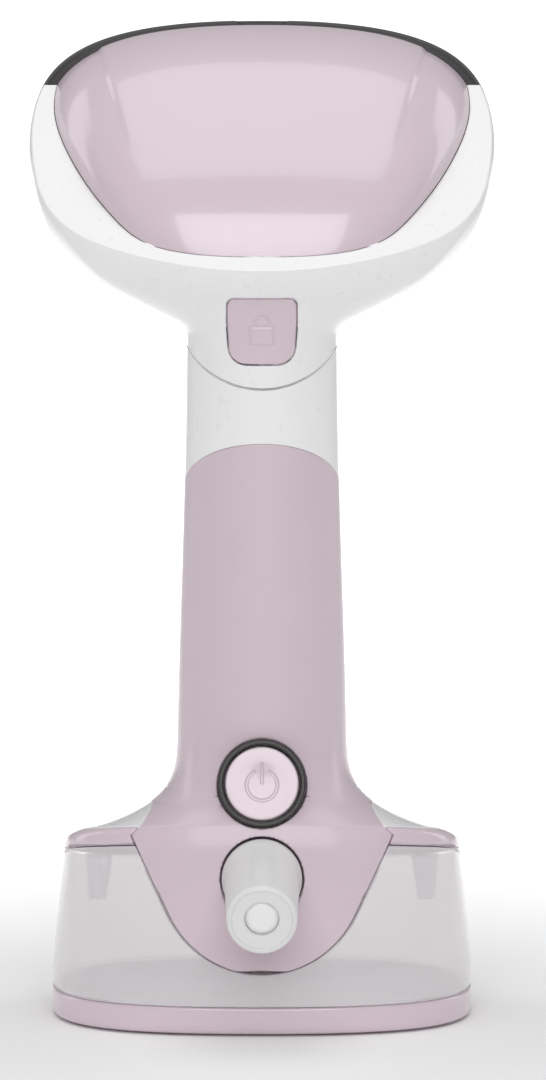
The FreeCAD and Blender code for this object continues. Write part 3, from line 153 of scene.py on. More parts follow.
# angle from the neck to the face, share of the widening, share of the heel's growth, rear fullness,
# distance of the section's widest line beyond the pivot line's depth
HEAD = np.array((
    (-20, 0.0, 0.0, 0.60, 0.0), (-10, 0.0, 0.0, 0.60, 0.0), (0, 0.0, 0.0, 0.60, 0.0),
    (5, 0.003, 0.022, 0.60, 0.8),
    (10, 0.033, 0.068, 0.58, 3.0), (15, 0.166, 0.165, 0.54, 7.5), (20, 0.355, 0.380, 0.50, 13.5),
    (24, 0.514, 0.540, 0.48, 17.5), (30, 0.678, 0.665, 0.47, 21.5), (40, 0.849, 0.800, 0.48, 23.0),
    (50, 0.940, 0.872, 0.52, 23.0), (62, 0.985, 0.935, 0.60, 22.5), (75, 1.010, 0.978, 0.68, 21.0),
    (90, 1.008, 1.0, 0.72, 20.0)))
# angle, half width, distance of the crown from the pivot line, rear fullness
CROWN = np.array((
    (26, 30.0, 59.2, 0.78), (36, 35.5, 62.2, 0.76), (50, 42.8, 65.6, 0.72), (66, 49.2, 70.2, 0.70),
    (80, 53.6, 75.6, 0.71), (90, 55.6, 77.2, 0.72)))
FACE_FULLNESS = 0.72
DEGREE = 0.8            # one degree of the head counts as this many millimetres of level


def turned_section(angle, turn, width, heel, toe, fullness):
    """Outline in the plane through the pivot line at this angle above the horizontal."""
    radians = np.radians(angle)
    middle = PIVOT_Y + spline(HEAD[:, 0], HEAD[:, 4], angle)
    across, along = ring(turn, width, heel - middle, middle - toe, fullness)
    reach = middle - along
    return np.stack(np.broadcast_arrays(across, PIVOT_Y - np.cos(radians) * reach,
                                        PIVOT_Z + np.sin(radians) * reach), -1)


def head_skin(level, turn):
    """Outside of the head: level is PIVOT_Z at the neck and grows by DEGREE for each degree up to the face."""
    angle = np.clip((level - PIVOT_Z) / DEGREE, 0, 90)
    widening, growth, fullness = (spline(HEAD[:, 0], HEAD[:, k], angle) for k in (1, 2, 3))
    root, toe_root = PIVOT_Y + NECK_BACK, PIVOT_Y - NECK_FRONT
    width = NECK_WIDTH + (HEAD_WIDTH - NECK_WIDTH) * widening
    heel = root + (HEAD_REACH - root) * growth
    toe = toe_root + (FACE_TOE - toe_root) * (angle / 90) ** 2
    return turned_section(angle, turn, width, heel, toe, np.where(np.abs(turn) <= 1, fullness, 0.60))


def crown_skin(level, turn):
    """Outside of the crowned cover; level counts as in head_skin."""
    angle = np.clip((level - PIVOT_Z) / DEGREE, 26, 90)
    width, heel, fullness = (spline(CROWN[:, 0], CROWN[:, k], angle) for k in (1, 2, 3))
    toe_root = PIVOT_Y - NECK_FRONT
    toe = toe_root + (FACE_TOE - toe_root) * (angle / 90) ** 2 + 2
    return turned_section(angle, turn, width, heel, toe, fullness)


def level_section(level, turn, width, back, front, tilt, fullness):
    """Outline round the Z axis in a plane that tilts down to the front by tilt degrees."""
    across, along = ring(turn, width, back, front, fullness)
    slope = np.radians(tilt)
    return np.stack(np.broadcast_arrays(across, along * np.cos(slope), level - along * np.sin(slope)), -1)


REAR_DEPTH = ((0, 34.0), (FOOT_TOP, 34.0), (24, 32.3), (36, 30.9), (SEAM, 30.1), (SHOULDER, 28.7), (54, 26.3),
              (62, 23.7), (70, 21.7), (80, 20.5), (100, 20.0), (125, 19.5), (150, 19.2), (PIVOT_Z, NECK_BACK))


def handle_skin(level, turn):
    """Outside of the handle with its flared foot: the half width eases from the shoulder's to the grip's with
    the power 4.2, the depths follow their own curves, and the section's tilt fades out upwards."""
    share = (level - SHOULDER) / (GRIP_START - SHOULDER)
    grip = spline((0, GRIP_START, GRIP_START + 35, 150, PIVOT_Z + 9), (21.6, 21.4, 20.4, 19.3, 18.9), level)
    width = ease(46.5, grip, share, 4.2)
    rear = spline(*zip(*REAR_DEPTH), level)
    nose = spline((0, GRIP_START, 150, PIVOT_Z), (17.0, 17.0, 17.0, NECK_FRONT), level)
    front = ease(29.0, nose, share, 4)
    fullness = spline((0, SHOULDER, GRIP_START, PIVOT_Z), (0.70, 0.70, 0.60, 0.60), level)
    return level_section(level, turn, width, rear, front, ease(SEAM_TILT, 0, share, 2), fullness)


def outer_skin(level, turn):
    """Handle below the pivot line, head above it."""
    level, turn = np.broadcast_arrays(np.asarray(level, float), np.asarray(turn, float))
    low = handle_skin(np.minimum(level, PIVOT_Z), turn)
    high = head_skin(np.maximum(level, PIVOT_Z), turn)
    return np.where((level < PIVOT_Z)[..., None], low, high)


def tank_skin(level, turn):
    """Outside of foot and tank: straight up from the foot band, then drawn in to the tilted parting line."""
    share = np.clip((level - FOOT_TOP) / (SEAM - FOOT_TOP), 0, 1)
    width = spline((FOOT_LOW[2], FOOT_TOP, 24, SEAM), (53.1, 53.3, 52.2, 50.2), level)
    back = spline((FOOT_LOW[2], FOOT_TOP, 24, SEAM), (33.9, 34.0, 32.3, 30.1), level)
    front = spline((FOOT_LOW[2], FOOT_TOP, 24, SEAM), (33.9, 34.0, 33.2, 31.5), level)
    return level_section(level, turn, width, back, front, SEAM_TILT * share ** 1.5, 0.70)


def tongue_half_width(height):
    """Half width of the rear cover's outline: a round lower end, a straight side, a step in to the grip."""
    corner, centre = np.array(TONGUE_CORNER), np.array((0, TONGUE_CENTRE))
    reach = np.hypot(*(corner - centre))
    angle = math.atan2(corner[1] - centre[1], corner[0]) - math.acos(TONGUE_RADIUS / reach)
    touch = centre + TONGUE_RADIUS * np.array((math.cos(angle), math.sin(angle)))
    arc = np.sqrt(np.clip(TONGUE_RADIUS ** 2 - (height - TONGUE_CENTRE) ** 2, 0, None))
    side = np.interp(height, (touch[1], corner[1], TONGUE_WAIST[1]), (touch[0], corner[0], TONGUE_WAIST[0]))
    return np.where(height < touch[1], arc, np.where(height > TONGUE_WAIST[1], 200.0, side))


def crossing(skin, test, low, high, turn, steps=32):
    """Level at which test(point) turns positive along each line of constant turn, by halving the span."""
    low, high = np.broadcast_arrays(np.asarray(low, float), np.asarray(high, float))
    low, high = np.array(np.broadcast_to(low, turn.shape)), np.array(np.broadcast_to(high, turn.shape))
    for _ in range(steps):
        middle = (low + high) / 2
        above = test(skin(middle, turn)) > 0
        high, low = np.where(above, middle, high), np.where(above, low, middle)
    return (low + high) / 2


def normals_of(points, closed=False):
    """Unit normals of a grid, from the cross product of its two differences."""
    if closed:
        wide = np.concatenate([points[:, -1:], points, points[:, :1]], 1)
        across = (wide[:, 2:] - wide[:, :-2])
    else:
        across = np.gradient(points, axis=1)
    up = np.gradient(points, axis=0)
    normal = np.cross(across, up)
    return normal / np.maximum(np.linalg.norm(normal, axis=-1, keepdims=True), 1e-12)


def rolled(points, sides, depth=1.4, radius=0.35, out=1):
    """A grid whose named sides ('low', 'high', 'left', 'right') turn inwards over a small rounded edge: two
    rows round the edge and one row straight down."""
    normal = normals_of(points) * out
    for side in sides:
        across = side in ("left", "right")
        grid, face = (a.swapaxes(0, 1) if across else a for a in (points, normal))
        if side in ("high", "right"):
            grid, face = grid[::-1], face[::-1]
        edge, before, down = grid[0], grid[1], face[0]
        way = edge - before
        way /= np.maximum(np.linalg.norm(way, axis=-1, keepdims=True), 1e-9)
        start = edge - way * radius
        corner = edge - way * radius * 0.3 - down * radius * 0.3
        lip = edge - down * radius
        foot = edge - down * depth
        grid = np.concatenate([[foot, lip, corner, start], grid[1:]])
        face = np.concatenate([[down] * 3, face])
        if side in ("high", "right"):
            grid, face = grid[::-1], face[::-1]
        points, normal = (a.swapaxes(0, 1) if across else a for a in (grid, face))
    return points


def quads_of(index):
    """Four-cornered faces between the neighbouring vertices of a grid of vertex numbers."""
    return np.stack([index[:-1, :-1], index[:-1, 1:], index[1:, 1:], index[1:, :-1]], -1).reshape(-1, 4)


def mesh_piece(name, points, body, slot, closed=False, ends=(False, False), replaces=()):
    """A piece from a grid of points in millimetres. closed joins the last column to the first, and ends fill
    the first and last row with a fan."""
    rows, columns = points.shape[:2]
    index = np.arange(rows * columns).reshape(rows, columns)
    if closed:
        index = np.concatenate([index, index[:, :1]], 1)
    vertices, faces = points.reshape(-1, 3), quads_of(index)
    for at_end, row in zip(ends, (0, -1)):
        if at_end:
            vertices = np.concatenate([vertices, points[row].mean(0, keepdims=True)])
            edge = index[row] if row else index[row][::-1]
            fan = np.stack([edge[:-1], edge[1:], np.full(len(edge) - 1, len(vertices) - 1)], -1)
            faces = np.concatenate([faces, np.concatenate([fan, fan[:, -1:]], 1)])
    return faces_piece(name, vertices, faces, body, slot, replaces)


def faces_piece(name, vertices, faces, body, slot, replaces=()):
    """A piece from vertices in millimetres and rows of four vertex numbers. Vertices in one place are made one,
    and a face that has lost a side to that becomes a triangle or goes."""
    key, first, same = np.unique(np.round(vertices, 3), axis=0, return_index=True, return_inverse=True)
    faces = np.ravel(same)[faces]
    kept = []
    for face in faces.tolist():
        ring_of_face = [v for k, v in enumerate(face) if v != face[k - 1]]
        if len(set(ring_of_face)) >= 3 and len(set(ring_of_face)) == len(ring_of_face):
            kept.append(ring_of_face)
    mesh = bpy.data.meshes.new(name)
    mesh.from_pydata((vertices[first] / 1000).tolist(), [], kept)
    mesh.update()
    mesh.shade_smooth()
    piece = bpy.data.objects.new(name, mesh)
    bpy.context.scene.collection.objects.link(piece)
    mesh.materials.append(FINISHES[slot])
    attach(piece, body)
    if replaces:
        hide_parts(*replaces)
    return piece


def joined_grids(*grids):
    """Vertices and four-cornered faces of several grids that touch along shared lines."""
    vertices, faces, start = [], [], 0
    for points in grids:
        rows, columns = points.shape[:2]
        index = start + np.arange(rows * columns).reshape(rows, columns)
        faces.append(quads_of(index))
        vertices.append(points.reshape(-1, 3))
        start += rows * columns
    return np.concatenate(vertices), np.concatenate(faces)


def spun(profile, centre, axis, up, count=96):
    """Surface of revolution: (radius, distance along the axis) pairs carried round the axis."""
    profile = np.asarray(profile, float)
    side = np.cross(up, axis)
    angle = np.linspace(0, 2 * math.pi, count, endpoint=False)
    rim = np.cos(angle)[:, None] * side + np.sin(angle)[:, None] * up
    return centre + profile[:, :1, None] * rim[None] + profile[:, 1:, None] * np.asarray(axis)[None, None]


def rounded_profile(profile, radius, steps=4):
    """The same profile with each inner corner cut by a small arc, as a quadratic Bezier between two points that
    lie up to radius from the corner."""
    profile = [np.asarray(p, float) for p in profile]
    out = [profile[0]]
    for before, corner, after in zip(profile, profile[1:], profile[2:]):
        a, b = before - corner, after - corner
        reach_a = min(radius, np.linalg.norm(a) * 0.45)
        reach_b = min(radius, np.linalg.norm(b) * 0.45)
        start, end = corner + a / np.linalg.norm(a) * reach_a, corner + b / np.linalg.norm(b) * reach_b
        t = np.linspace(0, 1, steps + 1)[:, None]
        out += list((1 - t) ** 2 * start + 2 * t * (1 - t) * corner + t * t * end)
    return np.array(out + [profile[-1]])


# ---- finishes


class Value:
    """A socket that adds Math nodes when it is used in an expression."""

    def __init__(self, net, socket):
        self.net, self.socket = net, socket

    def sum_with(self, operation, first, second):
        return self.net.node("Math", {"operation": operation}, **{"0": first, "1": second})

    def __add__(self, other):
        return self.sum_with("ADD", self, other)

    __radd__ = __add__

    def __sub__(self, other):
        return self.sum_with("SUBTRACT", self, other)

    def __rsub__(self, other):
        return self.sum_with("SUBTRACT", other, self)

    def __mul__(self, other):
        return self.sum_with("MULTIPLY", self, other)

    __rmul__ = __mul__


class Finish:
    """A new material and its node tree."""

    def __init__(self, name):
        self.material = bpy.data.materials.new(name)
        self.material.use_nodes = True
        self.tree = self.material.node_tree
        self.shader = self.tree.nodes["Principled BSDF"]

    def node(self, kind, settings=None, output=0, **sockets):
        """Adds one node: its settings first, then the values or links of its sockets by name or number."""
        made = self.tree.nodes.new("ShaderNode" + kind)
        for key, value in (settings or {}).items():
            setattr(made, key, value)
        self.feed(made, sockets)
        return Value(self, made.outputs[output])

    def feed(self, made, sockets):
        for key, value in sockets.items():
            socket = made.inputs[int(key)] if key.isdigit() else made.inputs[key.replace("_", " ")]
            if isinstance(value, Value):
                self.tree.links.new(value.socket, socket)
            else:
                socket.default_value = value

    def place(self, scale=(1, 1, 1)):
        """The piece's own coordinates, in metres, stretched by scale."""
        coordinates = self.node("TexCoord", output="Object")
        return self.node("VectorMath", {"operation": "MULTIPLY"}, **{"0": coordinates, "1": scale})

    def noise(self, size, detail=2.0, scale=(1, 1, 1)):
        """Noise with features of this size in millimetres, from 0 to 1."""
        return self.node("TexNoise", Vector=self.place(scale), Scale=1000.0 / size, Detail=detail)

    def between(self, share, low, high):
        """Colour between two colours."""
        return self.node("Mix", {"data_type": "RGBA"}, output=2,
                         **{"0": share, "6": (*low, 1), "7": (*high, 1)})

    def bump(self, height, millimetres):
        """Normal of a relief that is this many millimetres high."""
        return self.node("Bump", Strength=1.0, Distance=millimetres / 1000.0, Height=height)

    def surface(self, **sockets):
        self.feed(self.shader, sockets)
        return self.material


def tone(red, green, blue):
    """A display colour from 0 to 255 as linear light."""
    share = np.array((red, green, blue)) / 255
    return tuple(np.where(share <= 0.04045, share / 12.92, ((share + 0.055) / 1.055) ** 2.4))


def shade(colour, factor):
    return tuple(min(1.0, part * factor) for part in colour)


def moulded(name, colour, roughness=0.3, coat=0.6, mottle=0.015):
    """Injection-moulded plastic: a faint mottle from the pigment, uneven gloss with fine wipe marks, and a
    lacquer that thins out in broad patches."""
    f = Finish(name)
    cloud = f.noise(22, 3.0)
    marks = f.noise(4.0, 3.0, (1, 1, 0.4))
    wave = f.noise(18, 1.0)
    return f.surface(Base_Color=f.between(cloud, shade(colour, 1 - mottle), shade(colour, 1 + mottle)),
                     Roughness=roughness - 0.02 + marks * 0.04,
                     Coat_Weight=coat - wave * 0.06, Coat_Roughness=0.08, IOR=1.5)


def textured(name, colour, roughness=0.55):
    """Spark-eroded soft-touch plastic: cell-like grain over a faint mottle."""
    f = Finish(name)
    cells = f.node("TexVoronoi", {"feature": "SMOOTH_F1"}, Vector=f.place(), Scale=1800.0, Smoothness=0.6)
    cloud = f.noise(9, 3.0)
    return f.surface(Base_Color=f.between(cloud, shade(colour, 0.94), shade(colour, 1.05)),
                     Roughness=roughness - 0.05 + cloud * 0.08 + cells * 0.06, IOR=1.48,
                     Normal=f.bump(cells, 0.03))


def rubbery(name, colour, roughness=0.6):
    """Rubber or silicone: dusty, with a fine matt grain."""
    f = Finish(name)
    dust = f.noise(5, 4.0)
    fine = f.noise(0.25, 2.0)
    return f.surface(Base_Color=f.between(dust, shade(colour, 0.9), shade(colour, 1.08)),
                     Roughness=roughness + dust * 0.15 - 0.05, IOR=1.42, Normal=f.bump(fine, 0.02))


def metal(name, colour, roughness=0.3, brush=(1, 1, 1), depth=0.01):
    """Metal whose fine scratches run along the axis with the small brush factor."""
    f = Finish(name)
    scratches = f.noise(0.6, 3.0, brush)
    stain = f.noise(12, 3.0)
    return f.surface(Base_Color=f.between(stain, shade(colour, 0.9), shade(colour, 1.06)), Metallic=1.0,
                     Roughness=roughness - 0.06 + scratches * 0.14 + stain * 0.05,
                     Normal=f.bump(scratches, depth))


def circuit(name, colour):
    """Lacquered board: copper tracks show through as a lighter rectangular net."""
    f = Finish(name)
    net = f.node("TexBrick", Vector=f.place(), Scale=260.0, Mortar_Size=0.04, Color1=(0, 0, 0, 1),
                 Color2=(0.3, 0.3, 0.3, 1), Mortar=(1, 1, 1, 1))
    return f.surface(Base_Color=f.between(net, colour, shade(colour, 1.9)), Roughness=0.32 + net * 0.08,
                     Coat_Weight=0.5, Normal=f.bump(net, 0.03))


def wound(name, colour):
    """Enamelled wire laid in turns round the vertical axis; the colour darkens in the grooves between turns, a
    painted shade.
    """
    f = Finish(name)
    turns = f.node("TexWave", {"bands_direction": "Z"}, Vector=f.place(), Scale=420.0, Distortion=0.4)
    return f.surface(Base_Color=f.between(turns, shade(colour, 0.55), shade(colour, 1.1)), Metallic=0.8,
                     Roughness=0.3 + turns * 0.1, Normal=f.bump(turns, 0.15))


def clear(name, tint, edge):
    """Clear moulded plastic: see-through when looked at squarely; towards a glancing angle it turns milky,
    opaque and a little lighter, a painted reflection beside the coat's real one.
    """
    f = Finish(name)
    flow = f.noise(30, 2.0, (1, 1, 0.3))
    glancing = f.node("LayerWeight", output="Facing", Blend=0.35)
    # painted reflection: colour and opacity rise towards a glancing angle
    painted_sheen = f.node("Math", {"operation": "POWER", "use_clamp": True}, **{"0": glancing, "1": 1.6})
    return f.surface(Base_Color=f.between(painted_sheen, tint, edge), Roughness=0.06 + flow * 0.04, IOR=1.49,
                     Coat_Weight=0.8, Coat_Roughness=0.03, Alpha=0.62 + painted_sheen * 0.36 + flow * 0.03,
                     Normal=f.bump(flow, 0.05))


PINK = tone(217, 199, 209)
WHITE = tone(243, 243, 243)
FINISHES = {
    "white_shell": moulded("gloss_white", WHITE, 0.28, 0.7),
    "pink_shell": moulded("gloss_pink", PINK, 0.26, 0.8),
    "pink_soft": moulded("satin_pink", tone(214, 196, 206), 0.38, 0.35),
    "black_frame": textured("satin_black", tone(58, 56, 58), 0.42),
    "dark_ring": moulded("gloss_black", tone(34, 31, 30), 0.42, 0.2),
    "guard_grey": moulded("guard_grey", tone(228, 229, 228), 0.42, 0.2),
    "clear_tank": clear("clear_tank", tone(250, 246, 249), tone(252, 248, 251)),
    "steam_metal": metal("brushed_plate", tone(196, 197, 199), 0.32, (0.06, 1, 1)),
    "cast_aluminium": metal("cast_aluminium", tone(170, 172, 174), 0.5, (1, 1, 1), 0.04),
    "sheet_steel": metal("sheet_steel", tone(176, 176, 176), 0.35, (1, 1, 0.08)),
    "seal_rubber": rubbery("seal_silicone", tone(176, 74, 60)),
    "clear_rubber": rubbery("milky_silicone", tone(226, 224, 220), 0.45),
    "pad_rubber": rubbery("pad_rubber", tone(84, 80, 82)),
    "black_plastic": textured("housing_black", tone(50, 50, 52)),
    "board_green": circuit("board_green", tone(36, 92, 58)),
    "copper": wound("copper_winding", tone(196, 122, 78)),
    "lead_red": rubbery("lead_red", tone(150, 44, 38), 0.4),
    "bare_steel": metal("plated_steel", tone(200, 200, 204), 0.22),
}
for part in frame["record"]["subparts"]:
    CAD_mesh = frame["nodes"][part["node"]].data
    CAD_mesh.materials.clear()
    CAD_mesh.materials.append(FINISHES[part["material_slot"]])


# ---- head


def arc_seam(points):
    """Height above the parting line of handle and head, which dips in a round arc under the lock button."""
    x = points[..., 0]
    arc = ARC_HEIGHT - np.sqrt(np.clip(ARC_RADIUS ** 2 - x ** 2, 0, None))
    return points[..., 2] - np.where(np.abs(x) < ARC_RADIUS, np.minimum(arc, NECK_LINE), NECK_LINE)


def bezel_plane(points):
    """Height above the bezel plane."""
    return points[..., 2] - BEZEL_Z - (points[..., 1] - BEZEL_Y) * BEZEL_SLOPE


def dense_turns(count, end, share=0.5, closed=False):
    """Turns from -end to end, closer together at the middle of the rear."""
    s = np.linspace(-1, 1, count, endpoint=not closed)
    return end * (share * s + (1 - share) * s ** 3)


def outside_box(over_x, over_z, radius):
    """Distance outside a box with round corners, from how far a point is past the straight parts of its
    sides."""
    outside = np.hypot(np.clip(over_x, 0, None), np.clip(over_z, 0, None))
    return outside + np.clip(np.maximum(over_x, over_z), None, 0) - radius


def lock_outline(x, z):
    """Distance outside the lock button's outline: a square whose lower corners are rounder."""
    lower = smooth(-z, -3, 5)
    half = LOCK_HALF - 0.4 * lower
    radius = 2.3 + 2.2 * lower
    return outside_box(np.abs(x) - half + radius, np.abs(z) - LOCK_HALF + radius, radius)


def snapped(points, outline, reach, where):
    """Points nearer to an outline in the XZ plane than reach move on to it along the surface."""
    normal = normals_of(points)
    x, z, step = points[..., 0], points[..., 2], 0.02
    off = outline(x, z)
    slope_x = (outline(x + step, z) - outline(x - step, z)) / (2 * step)
    slope_z = (outline(x, z + step) - outline(x, z - step)) / (2 * step)
    move = np.where((np.abs(off) < reach) & where, -off, 0)
    shift = np.stack([slope_x * move, np.zeros_like(move), slope_z * move], -1)
    depth = np.where(np.abs(normal[..., 1]) > 0.1, normal[..., 1], -1.0)
    shift[..., 1] = -(normal[..., 0] * shift[..., 0] + normal[..., 2] * shift[..., 2]) / depth
    return points + shift, off + slope_x * shift[..., 0] + slope_z * shift[..., 2]


def seam_rows(count, start=0.012):
    """Shares from 0 to 1 with a close row next to each end."""
    return np.concatenate([[0, start], np.linspace(start, 1 - start, count)[1:-1], [1 - start, 1]])


def bezel_turn(skin, level):
    """Turn at which a skin of the head passes behind the bezel plane at each level, by halving."""
    low, high = np.zeros_like(level), np.full_like(level, 1.3)
    for _ in range(36):
        middle = (low + high) / 2
        behind = bezel_plane(skin(level, middle)) < 0
        high, low = np.where(behind, middle, high), np.where(behind, low, middle)
    return (low + high) / 2


def round_front(shares, level):
    """Turns of rows that run from the bezel plane round the front and back to it."""
    start = bezel_turn(head_skin, level)[:, None]
    turns = start + (4 - 2 * start) * shares
    return np.where(turns > 2, turns - 4, turns)


FACE_LEVEL = PIVOT_Z + 90 * DEGREE
middle_turn = np.array([0.0])
crease_low = crossing(head_skin, bezel_plane, PIVOT_Z + 5, FACE_LEVEL, middle_turn)[0]
lip_low = crossing(crown_skin, bezel_plane, PIVOT_Z + 5, FACE_LEVEL, middle_turn)[0]
bowl_shares = (dense_turns(301, 2, 0.45) + 2) / 4
bowl_shares = np.where(bowl_shares < 0.5, bowl_shares + 0.5, bowl_shares - 0.5)
bowl_turns = dense_turns(300, 2, 0.45, closed=True)
seam_level = crossing(outer_skin, lambda p: arc_seam(p) - GAP, 150, PIVOT_Z + 20, bowl_turns)
lower_bowl = outer_skin(seam_level + (crease_low - seam_level) * seam_rows(100)[:, None], bowl_turns)
at_rear = lower_bowl[..., 1] < PIVOT_Y - 20
lower_bowl, off = snapped(lower_bowl, lambda x, z: lock_outline(x, z - LOCK_Z) - LOCK_GAP, 0.2, at_rear)
inside_lock = (off < -0.03) & at_rear
lower_bowl = lower_bowl - normals_of(lower_bowl) * np.where(inside_lock, 3.2, 0)[..., None]
lower_bowl = rolled(lower_bowl, ("low",), 1.6, EDGE)
lower_bowl = np.roll(lower_bowl, -150, 1)
lower_bowl = np.concatenate([lower_bowl, lower_bowl[:, :1]], 1)
climb = np.linspace(0, 1, 70) ** 2
crease_level = crease_low + (FACE_LEVEL - crease_low) * climb
shares = np.where(bowl_turns < 0, bowl_turns + 4, bowl_turns) / 4
shares = np.concatenate([np.roll(shares, -150), [1.0]])
upper_bowl = head_skin(crease_level[:, None], round_front(shares, crease_level))
upper_bowl[0] = lower_bowl[-1]
lip_level = lip_low + (FACE_LEVEL - lip_low) * climb
lip_turn = bezel_turn(crown_skin, lip_level)
bands = []
for way, column in ((1, 0), (-1, -1)):
    crease, lip = upper_bowl[:, column], crown_skin(lip_level, way * lip_turn)
    lip_way = lip - crease
    lip = lip - lip_way / np.linalg.norm(lip_way, axis=-1, keepdims=True) * GAP / 2
    band = crease[:, None] + (lip - crease)[:, None] * seam_rows(6, 0.06)[:, None]
    if way > 0:
        bands.append(rolled(band[:, ::-1], ("left",), 1.6, EDGE))
    else:
        bands.append(rolled(band, ("right",), 1.6, EDGE))
vertices, faces = joined_grids(lower_bowl, upper_bowl, *bands)
faces_piece("head_bowl", vertices, faces, "handle", "white_shell", replaces=("head_shell",))

crown_low = crossing(crown_skin, lambda p: bezel_plane(p) - GAP / 2, PIVOT_Z + 5, FACE_LEVEL, middle_turn)[0]
crown_level = crown_low + (FACE_LEVEL - crown_low) * np.linspace(0.012, 1, 130) ** 2
crown_turn = bezel_turn(crown_skin, crown_level) - GAP / 2 / 55
crown_across = dense_turns(221, 1, 0.9)
crown = crown_skin(crown_level[:, None], crown_turn[:, None] * crown_across)


def panel_outline(x, v):
    """Distance inside the raised panel of the crown: two sloping sides and a slightly bowed lower edge."""
    lower = v - 219.6
    side = (38.6 - 0.30 * (236 - v) - np.abs(x)) * 0.958
    return np.minimum(lower, side)


view_height = 0.985 * crown[..., 2] + 0.17 * crown[..., 1]
panel = smooth(panel_outline(crown[..., 0], view_height), -0.9, 0.9) * smooth(view_height, 216, 236)
crown = crown + normals_of(crown) * (0.55 * panel)[..., None]
mesh_piece("crown_cover", rolled(crown, ("low", "left", "right"), 1.4, EDGE), "handle", "pink_shell",
           replaces=("head_cover",))


# ---- lock button


def on_skin(skin, x, z, level, turn, steps=8):
    """Point of a skin over each (x, z), by Newton's method on (level, turn)."""
    level, turn, step = np.array(level, float), np.array(turn, float), 1e-3
    for _ in range(steps):
        here = skin(level, turn)
        by_level, by_turn = (skin(level + step, turn) - here) / step, (skin(level, turn + step) - here) / step
        miss_x, miss_z = x - here[..., 0], z - here[..., 2]
        area = by_level[..., 0] * by_turn[..., 2] - by_level[..., 2] * by_turn[..., 0]
        level += (miss_x * by_turn[..., 2] - miss_z * by_turn[..., 0]) / area
        turn += (by_level[..., 0] * miss_z - by_level[..., 2] * miss_x) / area
    return skin(level, turn)


def filled_outline(count, half, outline):
    """A square grid of count x count points drawn in so that its border lies on the outline."""
    s = np.linspace(-1, 1, count)
    s = np.sign(s) * (1 - (1 - np.abs(s)) ** 1.15)
    a, b = np.meshgrid(s, s)
    edge = np.maximum(np.maximum(np.abs(a), np.abs(b)), 1e-9)
    low, high = np.full(a.shape, 0.5), np.full(a.shape, 1.1)
    for _ in range(30):
        middle = (low + high) / 2
        out = outline(a / edge * half * middle, b / edge * half * middle) > 0
        high, low = np.where(out, middle, high), np.where(out, low, middle)
    return a * half * low, b * half * low


def groove(distance, width=0.32, edge=0.16):
    """1 in a line of this half width, falling to 0 over its edge."""
    return 1 - smooth(distance, width - edge, width + edge)


def padlock(x, z):
    """Distance from the padlock's lines: a rounded box, and a bow of one half circle with two short legs."""
    box_line = np.abs(outside_box(np.abs(x) - 2.7, np.abs(z + 1.5) - 2.1, 0.3))
    bow = np.abs(np.hypot(x, np.clip(z - 2.0, 0, None)) - 1.8)
    return np.minimum(box_line, np.where(z > 0.9, bow, 9.0))


def power_mark(x, z):
    """Distance from the power mark's lines: a circle open at the top, and a short upright bar."""
    circle = np.abs(np.hypot(x, z + 0.4) - 3.9)
    gap_end = np.hypot(np.abs(x) - 1.9, z + 0.4 - 3.4)
    circle = np.where((np.abs(x) < 1.9) & (z > 0), gap_end, circle)
    bar = np.hypot(x, z - np.clip(z, 0.2, 4.9))
    return np.minimum(circle, bar)


x, z = filled_outline(121, LOCK_HALF, lock_outline)
cap = on_skin(outer_skin, x, z + LOCK_Z, z + LOCK_Z, x / 36)
dimple = 0.35 * smooth(5.5 - np.hypot(x, z), 0, 5.5)
depth = 0.28 * groove(padlock(x, z)) + dimple
cap = cap - normals_of(cap) * depth[..., None]
mesh_piece("lock_key", rolled(cap, ("low", "high", "left", "right"), 1.5, 0.45), "lock_button", "pink_shell",
           replaces=("lock_button",))


# ---- steam plate frame


def face_ring(turn, inset):
    """Outline of the face in X and Z, moved inwards by inset."""
    middle = PIVOT_Z + (HEAD_REACH + FACE_TOE) / 2
    half = (HEAD_REACH - FACE_TOE) / 2
    fullness = np.where(np.abs(turn) <= 1, FACE_FULLNESS, 0.60)
    across, along = ring(turn, HEAD_WIDTH, half, half, fullness)
    ahead = ring(turn + 1e-4, HEAD_WIDTH, half, half, fullness)
    way = np.stack([ahead[0] - across, ahead[1] - along], -1)
    way /= np.linalg.norm(way, axis=-1, keepdims=True)
    return across - way[..., 1] * inset, middle - (along + way[..., 0] * inset)


frame_turns = dense_turns(360, 2, 0.5, closed=True)
start, front = FACE_LOW[1], FACE_HIGH[1]
rim_profile = rounded_profile(((6.2, start), (0.9, start), (0.0, start + 0.9), (0.0, front - 1.2),
                               (1.2, front),
                               (4.5, front), (4.6, front - 2.6), (6.2, front - 2.8)), 0.8)
rim = np.stack([np.stack([*face_ring(frame_turns, inset)], -1) for inset, _ in rim_profile])
rim = np.stack([rim[..., 0], np.broadcast_to(rim_profile[:, 1:], rim.shape[:2]), rim[..., 1]], -1)
dense = np.linspace(0, len(rim) - 1, len(rim) * 3 - 2)
before = np.clip(dense.astype(int), 0, len(rim) - 2)
share = (dense - before)[:, None, None]
rim = rim[before] * (1 - share) + rim[before + 1] * share
slot = smooth(6.1 - np.abs(rim[..., 0]), -0.2, 0.2) * smooth(rim[..., 2], HEIGHT - 3, HEIGHT - 2.6)
slot = slot * smooth(2.6 - np.abs(rim[..., 1] - (start + front) / 2), -0.3, 0.3)
rim[..., 2] -= 1.5 * slot
mesh_piece("plate_rim", rim, "handle", "black_frame", closed=True,
           replaces=("steam_plate_frame",))


# ---- handle: white shell and pink rear cover


def tongue_skin(level, turn):
    """Outside that the rear cover follows: the handle, carried on down over lid and tank without a step."""
    width = spline((FOOT_TOP, 24, 36, 42, 45, SHOULDER), (53.3, 52.2, 51.2, 50.1, 48.8, 46.6), level)
    rear = spline(*zip(*REAR_DEPTH), level)
    tilt = SEAM_TILT * smooth(level, 10, SEAM)
    low = level_section(level, turn, width, rear, 30.0, tilt, 0.70)
    return np.where((level < SHOULDER)[..., None], low, handle_skin(np.maximum(level, SHOULDER), turn))


